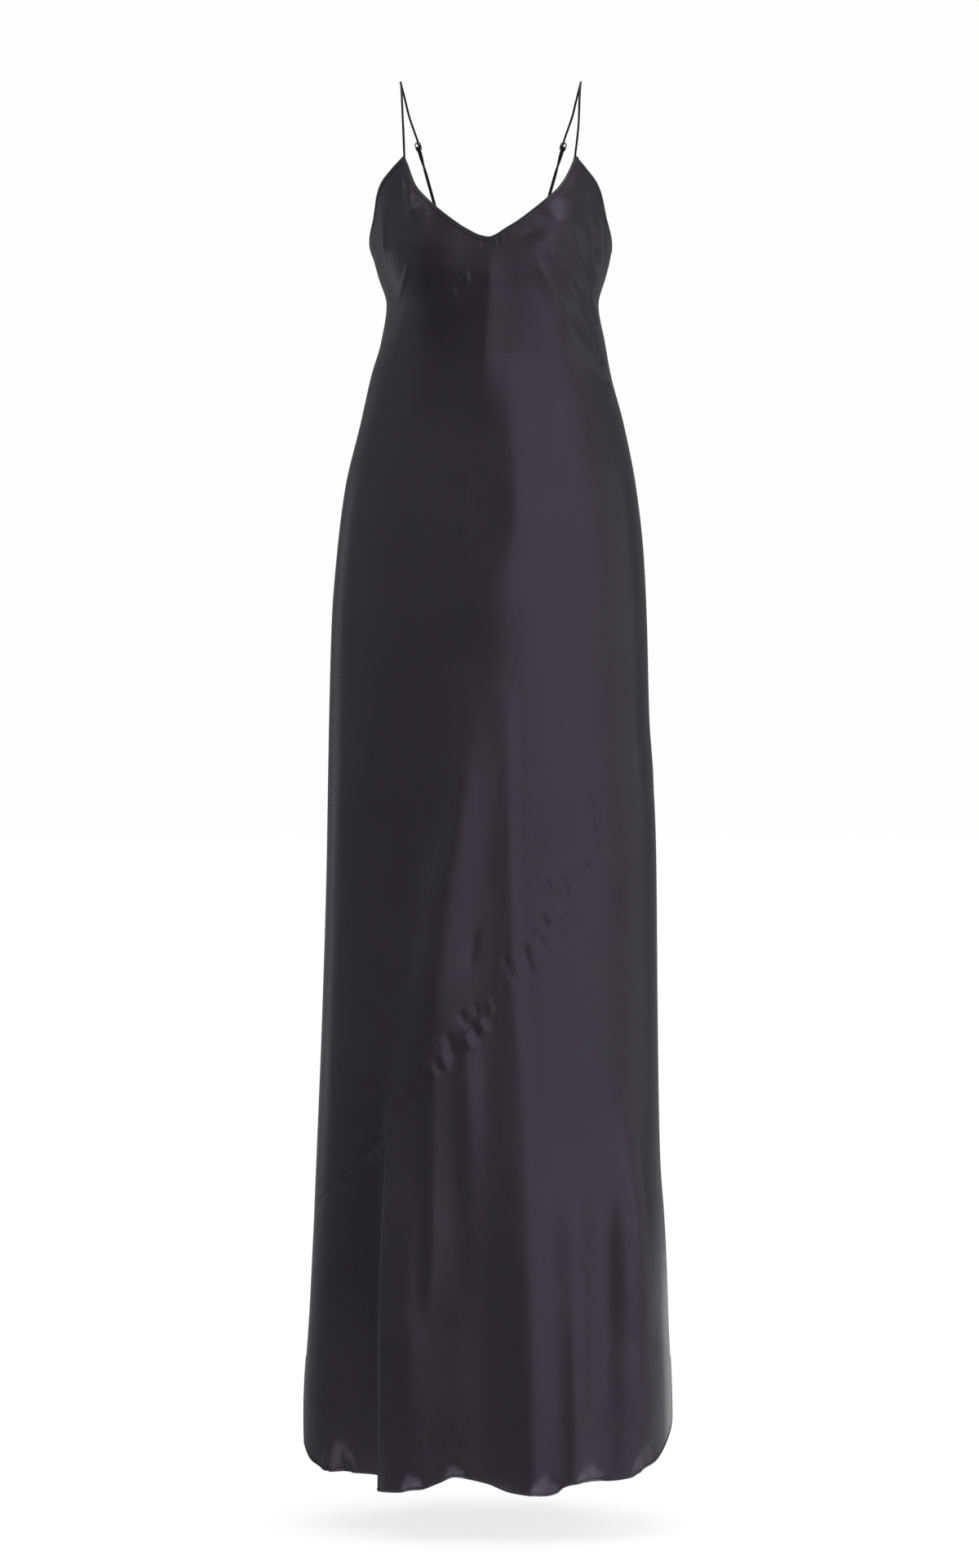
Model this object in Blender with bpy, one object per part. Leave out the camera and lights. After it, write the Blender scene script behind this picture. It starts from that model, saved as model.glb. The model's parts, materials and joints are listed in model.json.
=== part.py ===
"""A floor-length slip dress, hollow, in the form it takes when worn.

Frame: +Z up, the front faces -Y, +X is on the right as the front is seen.
The origin is midway between the tops of the two shoulder straps. Metres.

The body of the dress is a stack of rings. A ring has a left and a right half-width, a front and a
back depth, and it is read by an angle: 0 at the centre front or centre back, 90 degrees at the side
seam. The panels are windows of that surface, cut by their edges.
"""

from collections import namedtuple
from math import asin, cos, exp, pi, radians, sin, tanh

import bmesh
import bpy
from mathutils import Vector

# ---------------------------------------------------------------- driving dimensions

CLOTH = 0.0014             # wall that stands for the satin and its turnings
SEAM_GAP = 0.0003          # between pieces that are sewn together

FRONT, BACK = -1, 1

Section = namedtuple("Section", "z left right front back")
SECTIONS = (
    # height, half-widths to the left and right, depths to the front and back
    Section(-0.090, 0.1330, 0.1330, 0.110, 0.074),
    Section(-0.115, 0.1330, 0.1330, 0.117, 0.080),
    Section(-0.135, 0.1330, 0.1330, 0.120, 0.085),
    Section(-0.160, 0.1330, 0.1330, 0.119, 0.088),
    Section(-0.182, 0.1330, 0.1330, 0.118, 0.089),
    Section(-0.197, 0.1285, 0.1310, 0.119, 0.089),
    Section(-0.215, 0.1235, 0.1265, 0.119, 0.087),
    Section(-0.246, 0.1145, 0.1185, 0.116, 0.081),
    Section(-0.287, 0.1205, 0.1255, 0.111, 0.076),
    Section(-0.323, 0.1310, 0.1320, 0.108, 0.074),
    Section(-0.376, 0.1430, 0.1460, 0.107, 0.079),
    Section(-0.448, 0.1600, 0.1600, 0.110, 0.093),
    Section(-0.520, 0.1690, 0.1680, 0.113, 0.109),
    Section(-0.591, 0.1745, 0.1715, 0.115, 0.118),
    Section(-0.699, 0.1775, 0.1743, 0.115, 0.121),
    Section(-0.765, 0.1787, 0.1788, 0.115, 0.119),
    Section(-0.860, 0.1803, 0.1820, 0.114, 0.117),
    Section(-1.020, 0.1850, 0.1834, 0.116, 0.116),
    Section(-1.180, 0.1914, 0.1859, 0.120, 0.119),
    Section(-1.344, 0.1988, 0.1944, 0.126, 0.124),
    Section(-1.450, 0.2053, 0.1990, 0.131, 0.128),
    Section(-1.530, 0.2065, 0.2000, 0.134, 0.131),
)

# The cups are cut into the front panel: one soft fullness on each side, no darts.
# It fades slower downwards than upwards.
Fullness = namedtuple("Fullness", "x z wide above below depth")
CUPS = (
    Fullness(-0.070, -0.192, 0.036, 0.046, 0.120, 0.0150),
    Fullness(0.070, -0.192, 0.036, 0.046, 0.120, 0.0100),
)

# The largest folds of the skirt, from where they start down to the hem. A positive depth stands
# out and a negative one sinks in. A fold with an edge turns over sharply on its left side.
Fold = namedtuple("Fold", "name x_top x_hem wide_top wide_hem depth z_top z_full edge")
FRONT_FOLDS = (
    Fold("left lap", -0.112, -0.1200, 0.030, 0.054, 0.0180, -1.060, -1.380, 0.006),
    Fold("left roll", -0.080, -0.0880, 0.040, 0.036, 0.0010, -1.020, -1.350, 0.0),
    Fold("middle trough", -0.002, -0.0040, 0.034, 0.024, -0.0020, -1.020, -1.500, 0.0),
    Fold("middle roll", 0.040, 0.0470, 0.036, 0.026, 0.0100, -1.050, -1.480, 0.0),
    Fold("right roll", 0.150, 0.1740, 0.020, 0.050, 0.0370, -1.060, -1.440, 0.0),
)
BACK_FOLDS = (
    Fold("left trough", -0.105, -0.1180, 0.036, 0.028, -0.026, -0.900, -1.500, 0.0),
    Fold("left roll", -0.058, -0.0640, 0.040, 0.032, 0.018, -0.780, -1.480, 0.0),
    Fold("middle trough", -0.004, -0.0060, 0.038, 0.030, -0.034, -0.740, -1.500, 0.0),
    Fold("right roll", 0.052, 0.0560, 0.040, 0.034, 0.020, -0.820, -1.480, 0.0),
    Fold("right trough", 0.104, 0.1160, 0.034, 0.026, -0.024, -0.960, -1.500, 0.0),
)
SIDE_CALM = 0.34           # folds die out where the cosine of the angle falls below this

# Edges, as they are seen from the front or the back: across and up.
EdgePoint = namedtuple("EdgePoint", "x z")
FRONT_TOP = (
    EdgePoint(-0.1330, -0.1770), EdgePoint(-0.1287, -0.1580), EdgePoint(-0.1265, -0.1456),
    EdgePoint(-0.1245, -0.1328), EdgePoint(-0.1198, -0.1201), EdgePoint(-0.1089, -0.1076),
    EdgePoint(-0.0937, -0.0937),
    EdgePoint(-0.0865, -0.1109), EdgePoint(-0.0794, -0.1296), EdgePoint(-0.0714, -0.1400),
    EdgePoint(-0.0564, -0.1550), EdgePoint(-0.0380, -0.1697), EdgePoint(-0.0266, -0.1771),
    EdgePoint(-0.0100, -0.1849), EdgePoint(-0.0020, -0.1862), EdgePoint(0.0050, -0.1838),
    EdgePoint(0.0153, -0.1771), EdgePoint(0.0275, -0.1697), EdgePoint(0.0468, -0.1550),
    EdgePoint(0.0617, -0.1420), EdgePoint(0.0714, -0.1325), EdgePoint(0.0812, -0.1176),
    EdgePoint(0.0915, -0.0937),
    EdgePoint(0.1045, -0.1076), EdgePoint(0.1153, -0.1201), EdgePoint(0.1209, -0.1328),
    EdgePoint(0.1239, -0.1456), EdgePoint(0.1269, -0.1580), EdgePoint(0.1330, -0.1830),
)
APEX_LEFT, APEX_RIGHT = FRONT_TOP[6], FRONT_TOP[22]
DIAGONAL_SEAM = (
    EdgePoint(-0.1913, -1.2560), EdgePoint(-0.1244, -1.1610), EdgePoint(-0.0554, -1.0660),
    EdgePoint(-0.0022, -1.0090), EdgePoint(0.0564, -0.9220), EdgePoint(0.1192, -0.8470),
    EdgePoint(0.1800, -0.7750),
)
FRONT_HEM = (
    EdgePoint(-0.2065, -1.4920), EdgePoint(-0.2020, -1.5110), EdgePoint(-0.1950, -1.5165),
    EdgePoint(-0.1770, -1.5150), EdgePoint(-0.1400, -1.5146), EdgePoint(-0.1378, -1.5165),
    EdgePoint(-0.1350, -1.5270), EdgePoint(-0.1100, -1.5265), EdgePoint(-0.0980, -1.5250),
    EdgePoint(-0.0865, -1.5240), EdgePoint(-0.0650, -1.5175), EdgePoint(-0.0434, -1.5110),
    EdgePoint(-0.0083, -1.5165),
    EdgePoint(0.0265, -1.5265), EdgePoint(0.0480, -1.5292), EdgePoint(0.0680, -1.5310),
    EdgePoint(0.0780, -1.5285), EdgePoint(0.0845, -1.5215), EdgePoint(0.0960, -1.5185),
    EdgePoint(0.1499, -1.5155), EdgePoint(0.1660, -1.5130), EdgePoint(0.1775, -1.5085),
    EdgePoint(0.1885, -1.4965), EdgePoint(0.1960, -1.4800), EdgePoint(0.2000, -1.4650),
)
HOLD_X = 0.050             # across, from the centre back to each ring
BACK_TOP = (
    EdgePoint(-0.1330, -0.1770), EdgePoint(-0.1150, -0.1860), EdgePoint(-0.0850, -0.1830),
    EdgePoint(-HOLD_X, -0.1700), EdgePoint(-0.0240, -0.1785), EdgePoint(0.0, -0.1830),
    EdgePoint(0.0240, -0.1785), EdgePoint(HOLD_X, -0.1700), EdgePoint(0.0850, -0.1830),
    EdgePoint(0.1150, -0.1880), EdgePoint(0.1330, -0.1830),
)
BACK_HEM = (
    EdgePoint(-0.2065, -1.4620), EdgePoint(-0.2000, -1.4880), EdgePoint(-0.1880, -1.5020),
    EdgePoint(-0.1650, -1.5110), EdgePoint(-0.1180, -1.5150), EdgePoint(-0.0640, -1.5230),
    EdgePoint(-0.0060, -1.5170), EdgePoint(0.0560, -1.5240), EdgePoint(0.1160, -1.5160),
    EdgePoint(0.1600, -1.5090), EdgePoint(0.1800, -1.4960), EdgePoint(0.1920, -1.4760),
    EdgePoint(0.2000, -1.4560),
)

SLIT_TOP = -1.400          # the side seams stop here
SLIT_FOOT = -1.480
SLIT_OPEN = radians(6.0)   # how far each panel's edge has left the side line at the foot

# Numbers of facets
ARMHOLE_COLUMNS = 8
NECK_COLUMNS = 18
BACK_SIDE_COLUMNS = 8
BACK_MIDDLE_COLUMNS = 8
UPPER_ROWS, LOWER_ROWS, BACK_ROWS = 20, 13, 24
TOP_CROWDING = 1.5         # rows lie closer together towards a shaped top edge; 1 is even

# ---------------------------------------------------------------- straps and their hardware

STRAP_RADIUS = 0.00085
STRAP_SIDE_STEPS = 1       # curve bevel resolution: six sides
STRAP_STEP = 0.0080        # spacing of the points along the free stretches
# One strap, from the front apex over the shoulder, for the right side: across, fore and aft, up.
SHOULDER_ROUTE = (
    Vector((0.0948, -0.0700, -0.0600)),
    Vector((0.0965, -0.0490, -0.0270)),
    Vector((0.0980, -0.0230, -0.0070)),
    Vector((0.0988, 0.0020, -0.0012)),
    Vector((0.0972, 0.0260, -0.0056)),
    Vector((0.0942, 0.0470, -0.0158)),
    Vector((0.0903, 0.0620, -0.0300)),
)
SLIDER_AT = Vector((0.0808, 0.0715, -0.0605))

WIRE_RADIUS = 0.0004       # the slider's frame
BAR_RADIUS = 0.00036       # its middle bar
SLIDER_CORNER = 0.0014
CORNER_FACETS = 4
SLIDER_PITCH = 0.0040      # between its three bars
SLIDER_HALF_WIDTH = 0.0030
MAIN_SIDE = 0.0009         # the strap's way through the slider, towards the centre back
RETURN_SIDE = -0.0011      # the doubled end beside it
WEAVE = 0.00165            # how far the strap bows to pass each bar
WEAVE_STEPS = 6            # points in one pitch of the weave

RING_WIRE = 0.0006
RING_RADIUS = 0.0034       # of the wire's centre line
RING_FACETS = 20
WIRE_SIDES = 8
STRAP_TURN = RING_WIRE + STRAP_RADIUS + 0.00025
TURN_SHARE = 0.25          # of a run below the slider, after which the two runs lie one behind the other
TURN_STEPS = 6

TAB_WIDTH = 0.0024
TAB_THICK = 0.0007
TAB_LEG = 0.0070
TAB_CLEAR = 0.00042        # between a leg of the tab and the back panel
TAB_SEAT = 0.0010          # the ring's lower wire above the back edge


# ---------------------------------------------------------------- curves through short tables

def smooth_through(knots):
    """Return a function through (at, value) knots that never swings past them."""
    knots = sorted(knots)
    at = [k[0] for k in knots]
    value = [k[1] for k in knots]
    rise = [(value[i + 1] - value[i]) / (at[i + 1] - at[i]) for i in range(len(at) - 1)]
    slope = [rise[0]]
    for before, after in zip(rise, rise[1:]):
        same_way = before * after > 0
        slope.append(2 * before * after / (before + after) if same_way else 0.0)
    slope.append(rise[-1])

    def read(x):
        if x <= at[0]:
            return value[0]
        if x >= at[-1]:
            return value[-1]
        i = max(k for k in range(len(at) - 1) if at[k] <= x)
        span = at[i + 1] - at[i]
        t = (x - at[i]) / span
        return (value[i] * (1 + 2 * t) * (1 - t) ** 2 + slope[i] * span * t * (1 - t) ** 2
                + value[i + 1] * t * t * (3 - 2 * t) + slope[i + 1] * span * t * t * (t - 1))

    return read


def ease(t):
    t = min(1.0, max(0.0, t))
    return t * t * (3 - 2 * t)


LEFT_OF, RIGHT_OF, FRONT_OF, BACK_OF = (
    smooth_through([(row.z, getattr(row, side)) for row in SECTIONS])
    for side in ("left", "right", "front", "back"))


def half_width(x, z):
    return LEFT_OF(z) if x < 0 else RIGHT_OF(z)


def angle_at(point):
    """The angle of the ring where an edge point lies."""
    share = point.x / half_width(point.x, point.z)
    return asin(max(-1.0, min(1.0, share)))


def edge_curve(points):
    """Height as a function of angle, with the two ends out at the side seams."""
    knots = [(angle_at(p), p.z) for p in points]
    knots[0] = (-pi / 2, points[0].z)
    knots[-1] = (pi / 2, points[-1].z)
    return smooth_through(knots)


def pointed_edge(points, *corners):
    """Like edge_curve, but sharp at the corners: smooth only between them."""
    cuts = [0] + [points.index(c) for c in corners] + [len(points) - 1]
    pieces = []
    for start, stop in zip(cuts, cuts[1:]):
        knots = [(angle_at(p), p.z) for p in points[start:stop + 1]]
        if start == 0:
            knots[0] = (-pi / 2, points[0].z)
        if stop == len(points) - 1:
            knots[-1] = (pi / 2, points[-1].z)
        pieces.append((knots[-1][0], smooth_through(knots)))

    def read(angle):
        for upper, piece in pieces:
            if angle <= upper + 1e-9:
                return piece(angle)
        return pieces[-1][1](angle)

    return read


# ---------------------------------------------------------------- the worn surface

def fold_height(folds, x, z):
    height = 0.0
    for fold in folds:
        grown = ease((fold.z_top - z) / (fold.z_top - fold.z_full))
        if grown == 0.0:
            continue
        down = min(1.0, max(0.0, (fold.z_top - z) / (fold.z_top - fold.z_full)))
        middle = fold.x_top + (fold.x_hem - fold.x_top) * down
        wide = fold.wide_top + (fold.wide_hem - fold.wide_top) * down
        away = x - middle
        profile = exp(-(away / wide) ** 2)
        if fold.edge:
            profile *= tanh(away / fold.edge)
        height += fold.depth * grown * profile
    return height


def surface(side, angle, z):
    """A point of the outer face of the cloth."""
    half = LEFT_OF(z) if angle < 0 else RIGHT_OF(z)
    depth = FRONT_OF(z) if side == FRONT else BACK_OF(z)
    x = half * sin(angle)
    out = fold_height(FRONT_FOLDS if side == FRONT else BACK_FOLDS, x, z)
    if side == FRONT:
        for cup in CUPS:
            high = cup.above if z > cup.z else cup.below
            out += cup.depth * exp(-((x - cup.x) / cup.wide) ** 2 - ((z - cup.z) / high) ** 2)
    out *= ease(cos(angle) / SIDE_CALM)
    return Vector((x, side * (depth * cos(angle) + out), z))


def outward(side, angle, z):
    """The surface normal, by small steps along and up."""
    step = 0.002
    along = surface(side, angle + step, z) - surface(side, angle - step, z)
    up = surface(side, angle, z + step) - surface(side, angle, z - step)
    normal = along.cross(up).normalized()
    return normal if normal.y * side > 0 or abs(normal.y) < 1e-6 else -normal


def side_limit(side, z):
    """The angle of a panel's side edge: half a gap short of the side line, more down the slit."""
    depth = FRONT_OF(z) if side == FRONT else BACK_OF(z)
    opened = max(0.0, (SLIT_TOP - z) / (SLIT_TOP - SLIT_FOOT))
    return pi / 2 - SEAM_GAP / 2 / depth - SLIT_OPEN * min(1.5, opened) ** 1.6


# ---------------------------------------------------------------- builders

def clear_scene():
    for thing in list(bpy.data.objects):
        bpy.data.objects.remove(thing)


def make_material(name, color, roughness, metallic):
    material = bpy.data.materials.new(name)
    material.use_nodes = True
    shader = material.node_tree.nodes["Principled BSDF"]
    shader.inputs["Base Color"].default_value = (*color, 1.0)
    shader.inputs["Roughness"].default_value = roughness
    shader.inputs["Metallic"].default_value = metallic
    return material


def add_object(name, data, material, parent):
    piece = bpy.data.objects.new(name, data)
    data.materials.append(material)
    piece.parent = parent
    bpy.context.collection.objects.link(piece)
    return piece


def finish_mesh(name, bm, material, parent):
    bmesh.ops.recalc_face_normals(bm, faces=bm.faces)
    mesh = bpy.data.meshes.new(name)
    bm.to_mesh(mesh)
    bm.free()
    mesh.shade_smooth()
    mesh.set_sharp_from_angle(angle=radians(50))
    return add_object(name, mesh, material, parent)


def cloth_panel(name, side, columns, rows, crowding, top, bottom, material, parent):
    """A closed wall over a grid: columns are angles, rows run from the top edge to the bottom."""
    bm = bmesh.new()
    bmesh.ops.create_grid(bm, x_segments=len(columns) - 1, y_segments=rows, size=1.0)
    bmesh.ops.triangulate(bm, faces=bm.faces)
    skin = list(bm.verts)
    wall = bmesh.ops.extrude_face_region(bm, geom=list(bm.faces), use_keep_orig=True)
    lining = [v for v in wall["geom"] if isinstance(v, bmesh.types.BMVert)]

    def grid_place(vert):
        column = round((vert.co.x + 1) / 2 * (len(columns) - 1))
        share = ((1 - vert.co.y) / 2) ** crowding
        angle = columns[column]
        z = top(angle) + (bottom(angle) - top(angle)) * share
        return angle / (pi / 2) * side_limit(side, z), z

    for vert in lining:
        angle, z = grid_place(vert)
        vert.co = surface(side, angle, z) - outward(side, angle, z) * CLOTH
    for vert in skin:
        angle, z = grid_place(vert)
        vert.co = surface(side, angle, z)
    return finish_mesh(name, bm, material, parent)


def spread(start, stop, count):
    return [start + (stop - start) * i / count for i in range(count + 1)]


def tube(path, radius, sides, closed):
    """A bmesh tube round a path: rings of vertices joined by quads, capped unless it is closed."""
    bm = bmesh.new()
    rings = []
    count = len(path)
    across = None
    for i, point in enumerate(path):
        before = path[i - 1] if closed or i else path[0]
        after = path[(i + 1) % count] if closed or i < count - 1 else path[-1]
        forward = (after - before).normalized()
        if across is None:
            across = forward.orthogonal()
        across = (across - forward * across.dot(forward)).normalized()
        up = forward.cross(across)
        rings.append([bm.verts.new(point + radius * (across * cos(a) + up * sin(a)))
                      for a in spread(0, 2 * pi, sides)[:-1]])
    pairs = list(zip(rings, rings[1:])) + ([(rings[-1], rings[0])] if closed else [])
    for one, two in pairs:
        for k in range(sides):
            n = (k + 1) % sides
            bm.faces.new((one[k], one[n], two[n], two[k]))
    if not closed:
        bm.faces.new(rings[0])
        bm.faces.new(rings[-1])
    return bm


def smooth_path(points, step):
    """Points every step or so along a curve through the given points (Catmull-Rom)."""
    padded = [points[0] * 2 - points[1]] + list(points) + [points[-1] * 2 - points[-2]]
    path = [points[0]]
    for a, b, c, d in zip(padded, padded[1:], padded[2:], padded[3:]):
        pieces = max(1, round((c - b).length / step))
        for k in range(1, pieces + 1):
            t = k / pieces
            path.append(0.5 * (2 * b + (c - a) * t + (2 * a - 5 * b + 4 * c - d) * t * t
                               + (3 * b - a - 3 * c + d) * t ** 3))
    return path


# ---------------------------------------------------------------- the dress

def front_columns():
    left, right = angle_at(APEX_LEFT), angle_at(APEX_RIGHT)
    return (spread(-pi / 2, left, ARMHOLE_COLUMNS)
            + spread(left, right, NECK_COLUMNS)[1:]
            + spread(right, pi / 2, ARMHOLE_COLUMNS)[1:])


def back_columns():
    hold = angle_at(EdgePoint(HOLD_X, BACK_TOP[3].z))
    return (spread(-pi / 2, -hold, BACK_SIDE_COLUMNS)
            + spread(-hold, hold, BACK_MIDDLE_COLUMNS)[1:]
            + spread(hold, pi / 2, BACK_SIDE_COLUMNS)[1:])


def make_panels(satin, parent):
    top = pointed_edge(FRONT_TOP, APEX_LEFT, APEX_RIGHT)
    seam = edge_curve(DIAGONAL_SEAM)
    step = radians(2.0)

    def level_share(angle):
        """The cosine of the seam's slope, by a small step each way."""
        along = (surface(FRONT, angle + step, seam(angle + step))
                 - surface(FRONT, angle - step, seam(angle - step))).normalized()
        return Vector((along.x, along.y)).length

    def half_gap(angle):
        """Half of the seam gap, measured straight up where the seam slopes most nearby."""
        return SEAM_GAP / 2 / min(level_share(angle + k * step) for k in (-2, -1, 0, 1, 2))

    columns = front_columns()
    cloth_panel("front_upper", FRONT, columns, UPPER_ROWS, TOP_CROWDING,
                top, lambda a: seam(a) + half_gap(a), satin, parent)
    cloth_panel("front_lower", FRONT, columns, LOWER_ROWS, 1.0,
                lambda a: seam(a) - half_gap(a), edge_curve(FRONT_HEM), satin, parent)
    back_top = pointed_edge(BACK_TOP, BACK_TOP[3], BACK_TOP[7])
    cloth_panel("back", BACK, back_columns(), BACK_ROWS, TOP_CROWDING,
                back_top, edge_curve(BACK_HEM), satin, parent)


class Holding:
    """Where one strap is held on the back edge, and the directions its hardware is built in."""

    def __init__(self, hand):
        edge = BACK_TOP[7]
        angle = angle_at(edge) * hand
        self.hand = hand
        self.normal = outward(BACK, angle, edge.z)
        self.edge = surface(BACK, angle, edge.z) - self.normal * CLOTH / 2
        self.slider = Vector((SLIDER_AT.x * hand, SLIDER_AT.y, SLIDER_AT.z))
        pull = self.slider - self.edge
        self.up = (pull - self.normal * pull.dot(self.normal)).normalized()
        self.lower_wire = self.edge + self.up * TAB_SEAT
        self.down = (self.lower_wire - self.slider).normalized()
        self.ring = self.lower_wire - self.down * RING_RADIUS
        self.upper_wire = self.ring - self.down * RING_RADIUS
        self.inward = self.up.cross(self.normal).normalized()
        if self.inward.x * hand > 0:
            self.inward.negate()
        self.behind = self.down.cross(self.inward)
        if self.behind.y < 0:
            self.behind.negate()

    def place(self, along, aside, behind):
        """A point measured from the slider's middle bar: down the strap, inward and behind."""
        return self.slider + self.down * along + self.inward * aside + self.behind * behind


def strap_path(hold, apex):
    start = surface(FRONT, angle_at(apex), apex.z)
    start -= outward(FRONT, angle_at(apex), apex.z) * CLOTH / 2
    start.z += SEAM_GAP
    mirror = Vector((hold.hand, 1, 1))
    over = [start] + [p * mirror for p in SHOULDER_ROUTE]
    entry = -2 * SLIDER_PITCH
    over.append(hold.place(entry, MAIN_SIDE, 0))
    path = smooth_path(over, STRAP_STEP)

    # Down through the slider: behind its top bar, before the middle one, behind the lowest.
    for k in range(1, 4 * WEAVE_STEPS):
        along = entry + SLIDER_PITCH * k / WEAVE_STEPS
        calm = ease(2 - abs(along) / SLIDER_PITCH)
        path.append(hold.place(along, MAIN_SIDE, -WEAVE * calm * cos(pi * along / SLIDER_PITCH)))

    # Down behind the ring's upper wire, round it, and up again on the inner side.
    reach = (hold.upper_wire - hold.slider).length
    stretch = reach - 2 * SLIDER_PITCH
    steps = round(stretch / STRAP_STEP)
    for k in range(steps + 1):
        t = k / steps
        turned = ease(t / TURN_SHARE)
        path.append(hold.place(2 * SLIDER_PITCH + stretch * t, MAIN_SIDE * (1 - turned),
                               STRAP_TURN * turned))
    for k in range(1, TURN_STEPS):
        turn = pi * k / TURN_STEPS
        path.append(hold.place(reach + STRAP_TURN * sin(turn), 0, STRAP_TURN * cos(turn)))
    for k in range(steps + 1):
        t = 1 - k / steps
        turned = ease(t / TURN_SHARE)
        path.append(hold.place(2 * SLIDER_PITCH + stretch * t, RETURN_SIDE * (1 - turned),
                               -STRAP_TURN * turned))

    # The end goes behind the lowest bar and stops under the middle one.
    last = BAR_RADIUS + SEAM_GAP
    for k in range(1, 2 * WEAVE_STEPS + 1):
        along = 2 * SLIDER_PITCH - (2 * SLIDER_PITCH - last) * k / (2 * WEAVE_STEPS)
        calm = ease(2 - along / SLIDER_PITCH) * ease(along / SLIDER_PITCH * 1.3)
        path.append(hold.place(along, RETURN_SIDE, WEAVE * calm))
    return path


def make_strap(name, hold, apex, satin, parent):
    curve = bpy.data.curves.new(name, "CURVE")
    curve.dimensions = "3D"
    path = strap_path(hold, apex)
    spline = curve.splines.new("POLY")
    spline.points.add(len(path) - 1)
    for point, place in zip(spline.points, path):
        point.co = (*place, 1.0)
    curve.bevel_depth = STRAP_RADIUS
    curve.bevel_resolution = STRAP_SIDE_STEPS
    curve.use_fill_caps = True
    add_object(name, curve, satin, parent)


def make_slider(name, hold, metal, parent):
    """A figure eight of round wire: a rounded frame with a bar across its middle."""
    frame = []
    for quarter, (side, end) in enumerate(((1, 1), (-1, 1), (-1, -1), (1, -1))):
        along = end * (SLIDER_PITCH - SLIDER_CORNER)
        aside = side * (SLIDER_HALF_WIDTH - SLIDER_CORNER)
        for turn in spread(pi / 2 * quarter, pi / 2 * (quarter + 1), CORNER_FACETS):
            frame.append(hold.place(along + SLIDER_CORNER * sin(turn),
                                    aside + SLIDER_CORNER * cos(turn), 0))
    slider = finish_mesh(name, tube(frame, WIRE_RADIUS, WIRE_SIDES, closed=True), metal, parent)
    ends = [hold.place(0, side * SLIDER_HALF_WIDTH, 0) for side in (-1, 1)]
    bar = finish_mesh(name + "_bar", tube(ends, BAR_RADIUS, WIRE_SIDES, closed=False), metal, parent)
    bar.hide_render = True
    bar.display_type = "WIRE"
    join = slider.modifiers.new("middle bar", "BOOLEAN")
    join.operation = "UNION"
    join.object = bar


def make_ring(name, hold, metal, parent):
    circle = [hold.ring + RING_RADIUS * (hold.down * cos(a) + hold.inward * sin(a))
              for a in spread(0, 2 * pi, RING_FACETS)[:-1]]
    finish_mesh(name, tube(circle, RING_WIRE, WIRE_SIDES, closed=True), metal, parent)


def make_tab(name, hold, satin, parent):
    """A narrow loop of satin over the ring's lower wire, one leg on each face of the back panel."""
    inner = CLOTH / 2 + TAB_CLEAR
    bend = spread(0, pi, 8)
    outline = ([(inner, -TAB_LEG)] + [(inner * cos(a), inner * sin(a)) for a in bend]
               + [(-inner, -TAB_LEG)])
    outer = inner + TAB_THICK
    outline += ([(-outer, -TAB_LEG)] + [(outer * cos(a), outer * sin(a)) for a in reversed(bend)]
                + [(outer, -TAB_LEG)])
    start = hold.lower_wire - hold.inward * TAB_WIDTH / 2
    bm = bmesh.new()
    edge = [bm.verts.new(start + hold.normal * n + hold.up * u) for n, u in outline]
    face = bm.faces.new(edge)
    grown = bmesh.ops.extrude_face_region(bm, geom=[face], use_keep_orig=True)
    moved = [v for v in grown["geom"] if isinstance(v, bmesh.types.BMVert)]
    bmesh.ops.translate(bm, verts=moved, vec=hold.inward * TAB_WIDTH)
    finish_mesh(name, bm, satin, parent)


def build():
    clear_scene()
    dress = bpy.data.objects.new("dress", None)
    bpy.context.collection.objects.link(dress)
    satin = make_material("satin", (0.040, 0.037, 0.046), 0.42, 0.0)
    metal = make_material("dark_metal", (0.030, 0.030, 0.034), 0.30, 1.0)
    make_panels(satin, dress)
    for word, hand, apex in (("left", -1, APEX_LEFT), ("right", 1, APEX_RIGHT)):
        hold = Holding(hand)
        make_strap("strap_" + word, hold, apex, satin, dress)
        make_slider("slider_" + word, hold, metal, dress)
        make_ring("ring_" + word, hold, metal, dress)
        make_tab("tab_" + word, hold, satin, dress)


build()
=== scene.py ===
from collections import namedtuple
from math import asin, cos, pi, radians, sin, sqrt
import json
import random

import bmesh
import bpy
import numpy as np
from mathutils import Matrix, Vector

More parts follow.
